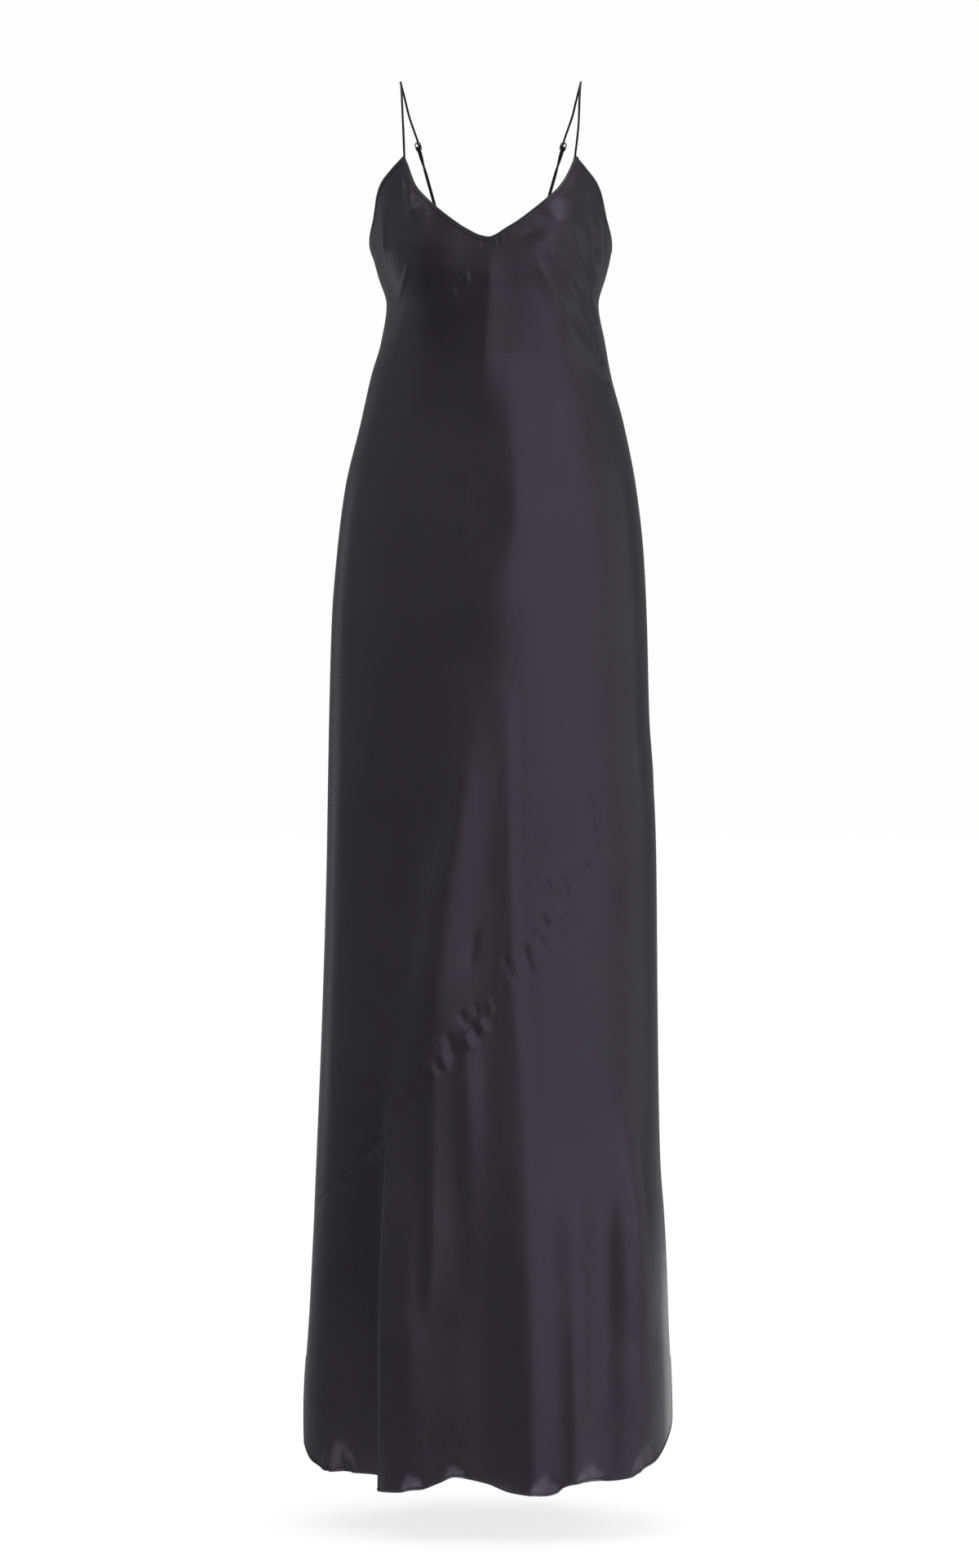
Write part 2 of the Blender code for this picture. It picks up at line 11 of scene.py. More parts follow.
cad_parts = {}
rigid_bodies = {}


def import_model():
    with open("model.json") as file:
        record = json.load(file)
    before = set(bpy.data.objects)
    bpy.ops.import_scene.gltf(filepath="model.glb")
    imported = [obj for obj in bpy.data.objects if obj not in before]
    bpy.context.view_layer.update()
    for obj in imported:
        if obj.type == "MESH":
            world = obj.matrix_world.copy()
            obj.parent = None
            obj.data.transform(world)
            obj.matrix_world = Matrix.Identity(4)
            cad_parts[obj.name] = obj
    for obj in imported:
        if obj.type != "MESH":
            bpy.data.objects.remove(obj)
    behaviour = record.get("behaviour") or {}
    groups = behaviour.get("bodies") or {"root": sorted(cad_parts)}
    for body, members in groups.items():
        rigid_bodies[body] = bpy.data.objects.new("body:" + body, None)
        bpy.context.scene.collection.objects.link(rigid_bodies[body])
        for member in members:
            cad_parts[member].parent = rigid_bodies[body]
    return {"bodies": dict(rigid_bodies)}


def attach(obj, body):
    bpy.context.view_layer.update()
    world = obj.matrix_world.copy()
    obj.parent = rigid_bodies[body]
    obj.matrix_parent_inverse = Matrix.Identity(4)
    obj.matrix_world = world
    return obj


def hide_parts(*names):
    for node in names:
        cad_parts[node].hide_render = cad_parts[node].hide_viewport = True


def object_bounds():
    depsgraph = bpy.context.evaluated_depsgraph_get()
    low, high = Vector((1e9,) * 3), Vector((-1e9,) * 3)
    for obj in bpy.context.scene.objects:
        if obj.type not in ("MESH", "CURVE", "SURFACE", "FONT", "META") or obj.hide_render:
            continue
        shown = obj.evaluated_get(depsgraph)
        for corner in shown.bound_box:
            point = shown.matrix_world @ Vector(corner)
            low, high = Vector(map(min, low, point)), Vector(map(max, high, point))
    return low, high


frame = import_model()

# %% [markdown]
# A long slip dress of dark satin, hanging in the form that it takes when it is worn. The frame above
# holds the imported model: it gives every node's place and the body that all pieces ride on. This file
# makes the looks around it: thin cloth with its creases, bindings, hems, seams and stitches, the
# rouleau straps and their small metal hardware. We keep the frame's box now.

cad_low, cad_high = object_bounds()
BODY = next(iter(frame["bodies"]))
print("frame's box, metres:", [round(c, 4) for c in (*cad_low, *cad_high)], "body", BODY)

# %% [markdown]
# The camera comes first. The dress is seen straight from the front with a long lens: the lens stands
# level with the middle of the dress, four and a half metres away, and the picture is upright. The
# height of the picture at the dress gives the focal length, so no zoom has to be guessed.

# %% Camera
PICTURE = (1200, 1922)                 # across and down
METRES_PER_PIXEL = 0.000896            # at the side seams, where y is 0
VIEW_DISTANCE = 4.5
VIEW_CENTRE = Vector((-0.00134, 0.0, -0.7715))
SENSOR = 36.0

camera_data = bpy.data.cameras.new("camera")
camera_data.sensor_fit = "VERTICAL"
camera_data.sensor_height = SENSOR
camera_data.sensor_width = SENSOR
camera_data.lens = SENSOR * VIEW_DISTANCE / (PICTURE[1] * METRES_PER_PIXEL)
camera = bpy.data.objects.new("camera", camera_data)
camera.location = VIEW_CENTRE - Vector((0, VIEW_DISTANCE, 0))
camera.rotation_euler = (pi / 2, 0, 0)
bpy.context.collection.objects.link(camera)
bpy.context.scene.camera = camera
print("focal length, mm:", round(camera_data.lens, 2))

# %% [markdown]
# Dark satin shows its light, not its colour: each bright place on it is the reflection of a lamp. One
# very large soft box stands on the right, from just beside the camera round to the side, and leaves
# the left half in shade. A box above wakes the cloth wherever it tips upwards, two small ones on the
# left draw the glints on the left cup, and a weak strip behind draws the left rim. Two cards near the
# floor shine upwards, as a pale studio floor does, and a weak top light fills the rest.

# %% Soft light
SOFTBOX_RADIANCE = 0.72
TOP_LIGHT, TOP_LIGHT_WIDTH = 1.4, radians(80)
FLOOR_BELOW_HEM = 0.05
FLOOR_Z = cad_low.z - FLOOR_BELOW_HEM
MIDDLE = Vector((0.0, 0.0, -0.75))

Lamp = namedtuple("Lamp", "name azimuth distance up target width height share")
LAMPS = (
    # azimuth in degrees, 0 in front of the dress and 90 to its right; share of the main radiance
    Lamp("soft box right", 36, 5.2, -0.5, MIDDLE, 5.6, 4.4, 1.0),
    Lamp("soft box side", 88, 5.2, -1.1, MIDDLE, 4.2, 3.8, 0.53),
    Lamp("soft box above", 62, 3.3, 1.75, Vector((0.0, 0.0, -0.2)), 2.0, 0.9, 2.7),
    Lamp("small box above left", -30, 2.45, 3.1, Vector((-0.08, -0.12, -0.15)), 1.1, 0.9, 3.8),
    Lamp("small box left", -60, 3.0, 1.85, Vector((-0.08, 0.0, -0.12)), 0.6, 0.5, 6.5),
    Lamp("strip behind left", -126, 3.0, -0.55, Vector((-0.1, 0.0, -0.55)), 0.4, 1.6, 1.0),
)
Card = namedtuple("Card", "name x y above_floor width height share")
CARDS = (
    Card("hem card", 0.0, -0.17, 0.003, 0.80, 0.14, 2.4),
    Card("floor card", 2.72, -1.2, 0.002, 5.2, 7.6, 0.62),
)


def soft_box(name, place, target, width, height, share):
    """A rectangle of light; its power follows from how bright its face is to be."""
    data = bpy.data.lights.new(name, "AREA")
    data.shape = "RECTANGLE"
    data.size = width
    data.size_y = height
    data.energy = share * SOFTBOX_RADIANCE * pi * width * height
    box = bpy.data.objects.new(name, data)
    box.location = place
    box.rotation_mode = "QUATERNION"
    box.rotation_quaternion = (target - place).to_track_quat("-Z", "Y")
    box.visible_camera = False
    bpy.context.collection.objects.link(box)
    return box


for lamp in LAMPS:
    azimuth = radians(lamp.azimuth)
    place = Vector((lamp.distance * sin(azimuth), -lamp.distance * cos(azimuth), lamp.up))
    soft_box(lamp.name, place, lamp.target, lamp.width, lamp.height, lamp.share)
for card in CARDS:
    place = Vector((card.x, card.y, FLOOR_Z + card.above_floor))
    lying = soft_box(card.name, place, MIDDLE, card.width, card.height, card.share)
    lying.rotation_quaternion = (0, 1, 0, 0)           # its face is up

top_data = bpy.data.lights.new("top light", "SUN")
top_data.energy = TOP_LIGHT
top_data.angle = TOP_LIGHT_WIDTH
top_light = bpy.data.objects.new("top light", top_data)
top_light.rotation_euler = (radians(-12), radians(8), 0)
bpy.context.collection.objects.link(top_light)
print("lamps:", [lamp.name for lamp in LAMPS], "cards:", [card.name for card in CARDS])

# %% [markdown]
# The room is plain white for the eye, but it sends the cloth much less light than that, because a dark
# satin in an evenly white room would look grey. Real walls would need to be built and lit; a world that
# changes with its direction does the same. The wall that the dress faces sends most. The walls beside
# and behind it send least, or the rims of the dress would glow.

# %% White room
ROOM_LIGHT = 0.53                      # what the room sends to the cloth, 1 is white
SEEN_WHITE = 0.985                     # what the eye sees of the room
# Places from the wall before the dress, 0, to the wall behind it, 1, and what share each sends
WALLS = ((0.45, 1.0), (0.60, 0.78), (0.80, 0.46), (0.98, 0.32))

world = bpy.data.worlds.new("white room")
world.use_nodes = True
bpy.context.scene.world = world
world_nodes, world_links = world.node_tree.nodes, world.node_tree.links
room = world_nodes["Background"]
room.inputs["Strength"].default_value = ROOM_LIGHT
towards = world_nodes.new("ShaderNodeTexCoord")
split = world_nodes.new("ShaderNodeSeparateXYZ")
depth = world_nodes.new("ShaderNodeMapRange")
depth.inputs["From Min"].default_value = -1.0
walls = world_nodes.new("ShaderNodeValToRGB")
walls.color_ramp.interpolation = "EASE"
stops = walls.color_ramp.elements
for stop, (position, share) in enumerate(WALLS):
    element = stops[stop] if stop < 2 else stops.new(position)
    element.position = position
    element.color = (share, share, share, 1)
world_links.new(towards.outputs["Generated"], split.inputs["Vector"])
world_links.new(split.outputs["Y"], depth.inputs["Value"])
world_links.new(depth.outputs["Result"], walls.inputs["Fac"])
world_links.new(walls.outputs["Color"], room.inputs["Color"])
white = world_nodes.new("ShaderNodeBackground")
white.inputs["Color"].default_value = (SEEN_WHITE, SEEN_WHITE, SEEN_WHITE, 1)
seen = world_nodes.new("ShaderNodeLightPath")
choose = world_nodes.new("ShaderNodeMixShader")
world_links.new(seen.outputs["Is Camera Ray"], choose.inputs["Fac"])
world_links.new(room.outputs["Background"], choose.inputs[1])
world_links.new(white.outputs["Background"], choose.inputs[2])
world_links.new(choose.outputs["Shader"], world_nodes["World Output"].inputs["Surface"])
print("room:", ROOM_LIGHT, "for the cloth and", SEEN_WHITE, "for the eye")

# %% [markdown]
# The floor is a wide plain disc of matt grey, a hand's breadth below the hem. The eye sees it lifted
# almost to white, so it runs into the room without an edge, and it keeps only the soft shadow of the
# dress. The view is left without a film look, so that the blacks stay as they are.

# %% Floor
FLOOR_RADIUS, FLOOR_GREY = 60.0, 0.30
FLOOR_LIFT = 0.78                      # how much whiter the eye sees the floor than the cloth does

floor_mesh = bpy.data.meshes.new("floor")
bm = bmesh.new()
bmesh.ops.create_circle(bm, cap_ends=True, segments=96, radius=FLOOR_RADIUS)
bmesh.ops.translate(bm, verts=bm.verts, vec=(0, 0, FLOOR_Z))
bm.to_mesh(floor_mesh)
bm.free()
floor = bpy.data.objects.new("floor", floor_mesh)
bpy.context.collection.objects.link(floor)
floor_paint = bpy.data.materials.new("floor paint")
floor_paint.use_nodes = True
floor_nodes, floor_links = floor_paint.node_tree.nodes, floor_paint.node_tree.links
floor_nodes.remove(floor_nodes["Principled BSDF"])
matt = floor_nodes.new("ShaderNodeBsdfDiffuse")
matt.inputs["Color"].default_value = (FLOOR_GREY, FLOOR_GREY, FLOOR_GREY, 1)
glow = floor_nodes.new("ShaderNodeEmission")
floor_seen = floor_nodes.new("ShaderNodeLightPath")
lift = floor_nodes.new("ShaderNodeMath")
lift.operation = "MULTIPLY"
lift.inputs[1].default_value = FLOOR_LIFT
both = floor_nodes.new("ShaderNodeAddShader")
floor_links.new(floor_seen.outputs["Is Camera Ray"], lift.inputs[0])
floor_links.new(lift.outputs["Value"], glow.inputs["Strength"])
floor_links.new(matt.outputs["BSDF"], both.inputs[0])
floor_links.new(glow.outputs["Emission"], both.inputs[1])
floor_links.new(both.outputs["Shader"], floor_nodes["Material Output"].inputs["Surface"])
floor_mesh.materials.append(floor_paint)

view = bpy.context.scene.view_settings
view.view_transform = "Standard"
view.look = "None"
print("floor at", round(FLOOR_Z, 3))

# %% [markdown]
# The dress is one surface. At each height it has a half-width to the left and right, and a depth to
# the front and back; a point on it is found by its height and by an angle, 0 at the centre front or
# back and 90 degrees at the side seam. It could be sculpted, or draped by a simulation, but neither
# would keep to given sizes. A short table of heights is enough, because a smooth curve runs through
# it. The same table shapes the solids of the frame, so the cloth lies on them exactly.

# %% The rings of the dress
FRONT, BACK = -1, 1

Section = namedtuple("Section", "z left right front back")
SECTIONS = (
    # height, half-widths to the left and right, depths to the front and back
    Section(-0.090, 0.1330, 0.1330, 0.110, 0.074),
    Section(-0.115, 0.1330, 0.1330, 0.117, 0.080),
    Section(-0.135, 0.1330, 0.1330, 0.120, 0.085),
    Section(-0.160, 0.1330, 0.1330, 0.119, 0.088),
    Section(-0.182, 0.1330, 0.1330, 0.118, 0.089),
    Section(-0.197, 0.1285, 0.1310, 0.119, 0.089),
    Section(-0.215, 0.1235, 0.1265, 0.119, 0.087),
    Section(-0.246, 0.1145, 0.1185, 0.116, 0.081),
    Section(-0.287, 0.1205, 0.1255, 0.111, 0.076),
    Section(-0.323, 0.1310, 0.1320, 0.108, 0.074),
    Section(-0.376, 0.1430, 0.1460, 0.107, 0.079),
    Section(-0.448, 0.1600, 0.1600, 0.110, 0.093),
    Section(-0.520, 0.1690, 0.1680, 0.113, 0.109),
    Section(-0.591, 0.1745, 0.1715, 0.115, 0.118),
    Section(-0.699, 0.1775, 0.1743, 0.115, 0.121),
    Section(-0.765, 0.1787, 0.1788, 0.115, 0.119),
    Section(-0.860, 0.1803, 0.1820, 0.114, 0.117),
    Section(-1.020, 0.1850, 0.1834, 0.116, 0.116),
    Section(-1.180, 0.1914, 0.1859, 0.120, 0.119),
    Section(-1.344, 0.1988, 0.1944, 0.126, 0.124),
    Section(-1.450, 0.2053, 0.1990, 0.131, 0.128),
    Section(-1.530, 0.2065, 0.2000, 0.134, 0.131),
)


def smooth_through(knots):
    """A curve through (at, value) knots that never swings past them; it reads whole arrays."""
    at, value = np.array(sorted(knots)).T
    rise = np.diff(value) / np.diff(at)
    before, after = rise[:-1], rise[1:]
    same_way = before * after > 0
    total = np.where(same_way, before + after, 1.0)
    inner = np.where(same_way, 2 * before * after / total, 0.0)
    slope = np.concatenate(([rise[0]], inner, [rise[-1]]))

    def read(x):
        x = np.clip(x, at[0], at[-1])
        i = np.clip(np.searchsorted(at, x, side="right") - 1, 0, len(at) - 2)
        span = at[i + 1] - at[i]
        t = (x - at[i]) / span
        return (value[i] * (1 + 2 * t) * (1 - t) ** 2 + slope[i] * span * t * (1 - t) ** 2
                + value[i + 1] * t * t * (3 - 2 * t) + slope[i + 1] * span * t * t * (t - 1))

    return read


def ease(t):
    t = np.clip(t, 0.0, 1.0)
    return t * t * (3 - 2 * t)


LEFT_OF, RIGHT_OF, FRONT_OF, BACK_OF = (
    smooth_through([(row.z, getattr(row, side)) for row in SECTIONS])
    for side in ("left", "right", "front", "back"))
print("rings:", len(SECTIONS), "widest hem, metres:", round(float(LEFT_OF(-1.53) + RIGHT_OF(-1.53)), 3))

# %% [markdown]
# The panels are windows of that surface, cut by their edges: a neckline in a deep V with two points
# for the straps, a seam that crosses the skirt from high on the right to low on the left, and a
# shirt-tail hem with rounded corners. A knife could cut them out of a mesh, but then no edge could be
# moved later. So each edge is a few marks, across and up, as a pattern maker would set them.

# %% Edges of the panels
EdgePoint = namedtuple("EdgePoint", "x z")


def marks(*pairs):
    """The marks of an edge, each across and up."""
    return tuple(EdgePoint(*pair) for pair in pairs)


FRONT_TOP = marks(
    (-0.1330, -0.1770), (-0.1287, -0.1580), (-0.1265, -0.1456), (-0.1245, -0.1328), (-0.1198, -0.1201),
    (-0.1089, -0.1076), (-0.0937, -0.0937), (-0.0865, -0.1109), (-0.0794, -0.1296), (-0.0714, -0.1400),
    (-0.0564, -0.1550), (-0.0380, -0.1697), (-0.0266, -0.1771), (-0.0100, -0.1849), (-0.0020, -0.1862),
    (0.0050, -0.1838), (0.0153, -0.1771), (0.0275, -0.1697), (0.0468, -0.1550), (0.0617, -0.1420),
    (0.0714, -0.1325), (0.0812, -0.1176), (0.0915, -0.0937), (0.1045, -0.1076), (0.1153, -0.1201),
    (0.1209, -0.1328), (0.1239, -0.1456), (0.1269, -0.1580), (0.1330, -0.1830),
)
APEX_LEFT, NECK_POINT, APEX_RIGHT = FRONT_TOP[6], FRONT_TOP[14], FRONT_TOP[22]
DIAGONAL_SEAM = marks(
    (-0.1913, -1.2560), (-0.1244, -1.1610), (-0.0554, -1.0660), (-0.0022, -1.0090), (0.0564, -0.9220),
    (0.1192, -0.8470), (0.1800, -0.7750),
)
FRONT_HEM = marks(
    (-0.2065, -1.4920), (-0.2020, -1.5110), (-0.1950, -1.5165), (-0.1770, -1.5150), (-0.1400, -1.5146),
    (-0.1378, -1.5165), (-0.1350, -1.5270), (-0.1100, -1.5265), (-0.0980, -1.5250), (-0.0865, -1.5240),
    (-0.0650, -1.5175), (-0.0434, -1.5110), (-0.0083, -1.5165), (0.0265, -1.5265), (0.0480, -1.5292),
    (0.0680, -1.5310), (0.0780, -1.5285), (0.0845, -1.5215), (0.0960, -1.5185), (0.1499, -1.5155),
    (0.1660, -1.5130), (0.1775, -1.5085), (0.1885, -1.4965), (0.1960, -1.4800), (0.2000, -1.4650),
)
HOLD_X = 0.050             # across, from the centre back to each ring
BACK_TOP = marks(
    (-0.1330, -0.1770), (-0.1150, -0.1860), (-0.0850, -0.1830), (-HOLD_X, -0.1700), (-0.0240, -0.1785),
    (0.0, -0.1830), (0.0240, -0.1785), (HOLD_X, -0.1700), (0.0850, -0.1830), (0.1150, -0.1880),
    (0.1330, -0.1830),
)
HOLD_LEFT, HOLD_RIGHT = BACK_TOP[3], BACK_TOP[7]
BACK_HEM = marks(
    (-0.2065, -1.4620), (-0.2000, -1.4880), (-0.1880, -1.5020), (-0.1650, -1.5110), (-0.1180, -1.5150),
    (-0.0640, -1.5230), (-0.0060, -1.5170), (0.0560, -1.5240), (0.1160, -1.5160), (0.1600, -1.5090),
    (0.1800, -1.4960), (0.1920, -1.4760), (0.2000, -1.4560),
)
print("marks: front's top", len(FRONT_TOP), "front's hem", len(FRONT_HEM), "back's hem", len(BACK_HEM))

# %% [markdown]
# Straight lines between the marks would show as corners in the cloth. So each edge becomes a smooth
# curve of height over the angle round the dress. An edge with points is cut there into stretches, and
# keeps its corners. As curves the edges cut the panels now, and carry bindings and stitches later.

# %% Curves of the edges
SIDE_X = 0.13              # marks past this lie on the side line


def angle_at(point):
    """The angle round the dress at which a mark lies."""
    half = LEFT_OF(point.z) if point.x < 0 else RIGHT_OF(point.z)
    return asin(max(-1.0, min(1.0, point.x / float(half))))


def edge_knots(points):
    """The marks as knots of a curve; an end near the side lies on the side line."""
    knots = [(angle_at(p), p.z) for p in points]
    if points[0].x < -SIDE_X:
        knots[0] = (-pi / 2, points[0].z)
    if points[-1].x > SIDE_X:
        knots[-1] = (pi / 2, points[-1].z)
    return knots


def edge_curve(points, *corners):
    """Height as a function of angle: smooth, but for the corners."""
    cuts = [0] + [points.index(c) for c in corners] + [len(points) - 1]
    stretches = []
    for start, stop in zip(cuts, cuts[1:]):
        knots = edge_knots(points[start:stop + 1])
        stretches.append((knots[0][0], smooth_through(knots)))

    def read(angle):
        angle = np.asarray(angle, float)
        height = stretches[0][1](angle)
        for begins, stretch in stretches[1:]:
            height = np.where(angle >= begins, stretch(angle), height)
        return height

    return read


front_top = edge_curve(FRONT_TOP, APEX_LEFT, APEX_RIGHT)
diagonal = edge_curve(DIAGONAL_SEAM)
front_hem = edge_curve(FRONT_HEM)
back_top = edge_curve(BACK_TOP, HOLD_LEFT, HOLD_RIGHT)
back_hem = edge_curve(BACK_HEM)
print("neckline's lowest point, metres:", round(float(front_top(angle_at(NECK_POINT))), 4))

# %% [markdown]
# The bust fills the front with two soft cups, each a swell that fades slowly downwards. Below, bias-cut
# satin makes few, long, soft folds. They start somewhere below the hips and grow down to the hem. Each
# is one row: where it starts and ends across, how wide it is, and how far it stands out or sinks in.
# Sculpting would be quicker at first, but a row can be changed alone, and a fold never gets lumpy. One
# fold on the left is turned over sharply, so the front of it laps over the cloth behind.

# %% Large folds
Fullness = namedtuple("Fullness", "x z wide above below depth")
CUPS = (
    # its middle across and up, half-width, reach above and below, how far it stands out
    Fullness(-0.0700, -0.1920, 0.036, 0.046, 0.120, 0.0150),
    Fullness(0.0700, -0.1920, 0.036, 0.046, 0.120, 0.0100),
    Fullness(-0.0830, -0.1560, 0.009, 0.009, 0.016, 0.0044),
    Fullness(0.0800, -0.1700, 0.032, 0.017, 0.026, 0.0042),
)
Fold = namedtuple("Fold", "name x_top x_hem wide_top wide_hem depth z_top z_full edge")
FRONT_FOLDS = (
    # an edge turns the fold over: its left flank sinks as far as its right flank stands out
    Fold("left lap", -0.112, -0.1200, 0.030, 0.054, 0.0180, -1.060, -1.380, 0.006),
    Fold("left roll", -0.080, -0.0880, 0.040, 0.036, 0.0010, -1.020, -1.350, 0.0),
    Fold("middle trough", -0.002, -0.0040, 0.034, 0.024, -0.0020, -1.020, -1.500, 0.0),
    Fold("middle roll", 0.040, 0.0470, 0.036, 0.026, 0.0100, -1.050, -1.480, 0.0),
    Fold("right roll", 0.150, 0.1740, 0.020, 0.050, 0.0370, -1.060, -1.440, 0.0),
)
BACK_FOLDS = (
    Fold("left trough", -0.105, -0.1180, 0.036, 0.028, -0.026, -0.900, -1.500, 0.0),
    Fold("left roll", -0.058, -0.0640, 0.040, 0.032, 0.018, -0.780, -1.480, 0.0),
    Fold("middle trough", -0.004, -0.0060, 0.038, 0.030, -0.034, -0.740, -1.500, 0.0),
    Fold("right roll", 0.052, 0.0560, 0.040, 0.034, 0.020, -0.820, -1.480, 0.0),
    Fold("right trough", 0.104, 0.1160, 0.034, 0.026, -0.024, -0.960, -1.500, 0.0),
)
print("folds:", len(FRONT_FOLDS), "in front and", len(BACK_FOLDS), "behind")

# %% [markdown]
# With the rings, the cups and the folds, the plain cloth has its form: every angle and height gives a
# point of it. The folds die out towards the side seams, so the front and the back meet there in one
# line. Below the tops of the slits the two panels leave that line a little, as real slits gape.

# %% The plain cloth
SIDE_CALM = 0.34           # folds die out where the cosine of the angle falls below this
SLIT_TOP, SLIT_FOOT = -1.400, -1.480
SLIT_OPEN = radians(6.0)   # how far each panel's edge has left the side line at the foot


def fold_at(fold, z):
    """How far down the fold z lies, 0 to 1, and where its middle is there."""
    down = np.clip((fold.z_top - z) / (fold.z_top - fold.z_full), 0, 1)
    return down, fold.x_top + (fold.x_hem - fold.x_top) * down


def fold_height(folds, x, z):
    """How high the folds stand at x and z, all together."""
    height = np.zeros_like(x)
    for fold in folds:
        down, middle = fold_at(fold, z)
        wide = fold.wide_top + (fold.wide_hem - fold.wide_top) * down
        away = x - middle
        profile = np.exp(-(away / wide) ** 2)
        if fold.edge:
            profile = profile * np.tanh(away / fold.edge)
        height += fold.depth * ease(down) * profile
    return height


def ring_at(side, angle, z):
    """Half-width and depth of the ring at each height."""
    half = np.where(angle < 0, LEFT_OF(z), RIGHT_OF(z))
    return half, FRONT_OF(z) if side == FRONT else BACK_OF(z)


def surface(side, angle, z):
    """Points of the outer face of the plain cloth, as an array with a row for each point."""
    half, depth = ring_at(side, angle, z)
    x = half * np.sin(angle)
    out = fold_height(FRONT_FOLDS if side == FRONT else BACK_FOLDS, x, z)
    if side == FRONT:
        for cup in CUPS:
            high = np.where(z > cup.z, cup.above, cup.below)
            out += cup.depth * np.exp(-((x - cup.x) / cup.wide) ** 2 - ((z - cup.z) / high) ** 2)
    out *= ease(np.cos(angle) / SIDE_CALM)
    return np.stack((x, side * (depth * np.cos(angle) + out), z), axis=-1)


def side_limit(z):
    """The angle of a panel's side edge: the side line, less what the slit has opened."""
    opened = np.clip((SLIT_TOP - z) / (SLIT_TOP - SLIT_FOOT), 0, 1.5)
    return pi / 2 - SLIT_OPEN * opened ** 1.6


open_at_foot = pi / 2 - float(side_limit(SLIT_FOOT))
print("a slit at the foot, degrees from the side line:", round(open_at_foot / radians(1), 1))

# %% [markdown]
# The small relief is laid on top. First the long streaks that the satin draws as it hangs
# from the bust and the hips: each runs down the cloth, and its middle, width and depth change on the
# way. A brush would leave them uneven, and satin shows the least bump. So each is a short course of
# places with smooth curves through them. A crest below 2 makes a sharper ridge. A lean makes one flank
# steeper, as a stretched bias does.

# %% Streaks of the front
At = namedtuple("At", "z x wide depth")
Streak = namedtuple("Streak", "name crest lean course")

FRONT_STREAKS = (
    Streak("centre line", 1.5, 0.0, (
        At(-0.195, -0.0020, 0.012, 0.0), At(-0.235, -0.0025, 0.015, 0.0022),
        At(-0.290, -0.0055, 0.016, 0.0026), At(-0.345, -0.0100, 0.018, 0.0018),
        At(-0.400, -0.0060, 0.020, 0.0))),
    Streak("belly", 2.0, -0.2, (
        At(-0.310, 0.0150, 0.024, 0.0), At(-0.355, 0.0215, 0.026, 0.0026),
        At(-0.400, 0.0240, 0.026, 0.0048), At(-0.440, 0.0280, 0.027, 0.0062),
        At(-0.475, 0.0290, 0.027, 0.0062), At(-0.510, 0.0230, 0.028, 0.0045),
        At(-0.545, 0.0100, 0.030, 0.0025), At(-0.620, 0.0, 0.034, 0.0))),
    Streak("long ridge", 1.8, 0.25, (
        At(-0.640, -0.0250, 0.026, 0.0), At(-0.720, -0.0290, 0.025, 0.0040),
        At(-0.806, -0.0350, 0.023, 0.0084), At(-0.893, -0.0510, 0.026, 0.0115),
        At(-0.980, -0.0605, 0.027, 0.0124), At(-1.024, -0.0640, 0.028, 0.0115),
        At(-1.120, -0.0710, 0.030, 0.0080), At(-1.240, -0.0800, 0.032, 0.0036),
        At(-1.330, -0.0850, 0.032, 0.0))),
    Streak("second ridge", 1.8, -0.45, (
        At(-0.660, 0.0150, 0.012, 0.0), At(-0.740, 0.0185, 0.012, 0.0014),
        At(-0.850, 0.0200, 0.012, 0.0017), At(-0.940, 0.0225, 0.012, 0.0015),
        At(-1.010, 0.0255, 0.013, 0.0015), At(-1.070, 0.0300, 0.014, 0.0016),
        At(-1.160, 0.0360, 0.016, 0.0008), At(-1.260, 0.0420, 0.018, 0.0))),
    Streak("lit stripe", 1.8, 0.5, (
        At(-1.040, -0.0590, 0.011, 0.0), At(-1.085, -0.0605, 0.012, 0.0026),
        At(-1.160, -0.0615, 0.013, 0.0040), At(-1.240, -0.0620, 0.013, 0.0046),
        At(-1.295, -0.0635, 0.014, 0.0028), At(-1.350, -0.0660, 0.015, 0.0))),
    Streak("narrow roll", 1.8, -0.1, (
        At(-1.020, -0.0230, 0.013, 0.0), At(-1.060, -0.0260, 0.014, 0.0022),
        At(-1.100, -0.0250, 0.015, 0.0030), At(-1.160, -0.0230, 0.017, 0.0022),
        At(-1.240, -0.0200, 0.019, 0.0010), At(-1.320, -0.0180, 0.020, 0.0))),
    Streak("right ridge", 1.9, 0.0, (
        At(-1.160, 0.0880, 0.018, 0.0), At(-1.250, 0.0890, 0.021, 0.0077),
        At(-1.300, 0.0895, 0.022, 0.0092), At(-1.350, 0.0900, 0.022, 0.0105),
        At(-1.400, 0.0900, 0.022, 0.0117), At(-1.450, 0.0900, 0.022, 0.0127),
        At(-1.535, 0.0900, 0.022, 0.0127))),
    Streak("side ridge", 1.9, 0.0, (
        At(-1.120, 0.1500, 0.016, 0.0), At(-1.180, 0.1520, 0.020, 0.0040),
        At(-1.240, 0.1560, 0.026, 0.0085), At(-1.300, 0.1580, 0.028, 0.0060),
        At(-1.370, 0.1580, 0.028, 0.0))),
    Streak("low swell", 2.0, 0.0, (
        At(-1.190, -0.0950, 0.020, 0.0), At(-1.245, -0.0955, 0.020, 0.0024),
        At(-1.320, -0.0960, 0.020, 0.0022), At(-1.420, -0.0980, 0.020, 0.0006),
        At(-1.500, -0.1040, 0.020, 0.0))),
    Streak("belly thread", 2.0, 0.0, (
        At(-0.415, -0.0270, 0.005, 0.0), At(-0.450, -0.0275, 0.006, 0.0007),
        At(-0.510, -0.0280, 0.006, 0.0007), At(-0.535, -0.0300, 0.007, 0.0))),
)
print("streaks of the front:", [streak.name for streak in FRONT_STREAKS])

# %% [markdown]
# Then the short creases, such as the drag lines from the bust to the side, and the deepest puckers
# where the diagonal seam draws the cloth together. A crease runs from one place to another, fades in
# and out, and is as wide as it says at either end. One row each is enough, because they are straight
# or bow only a little.

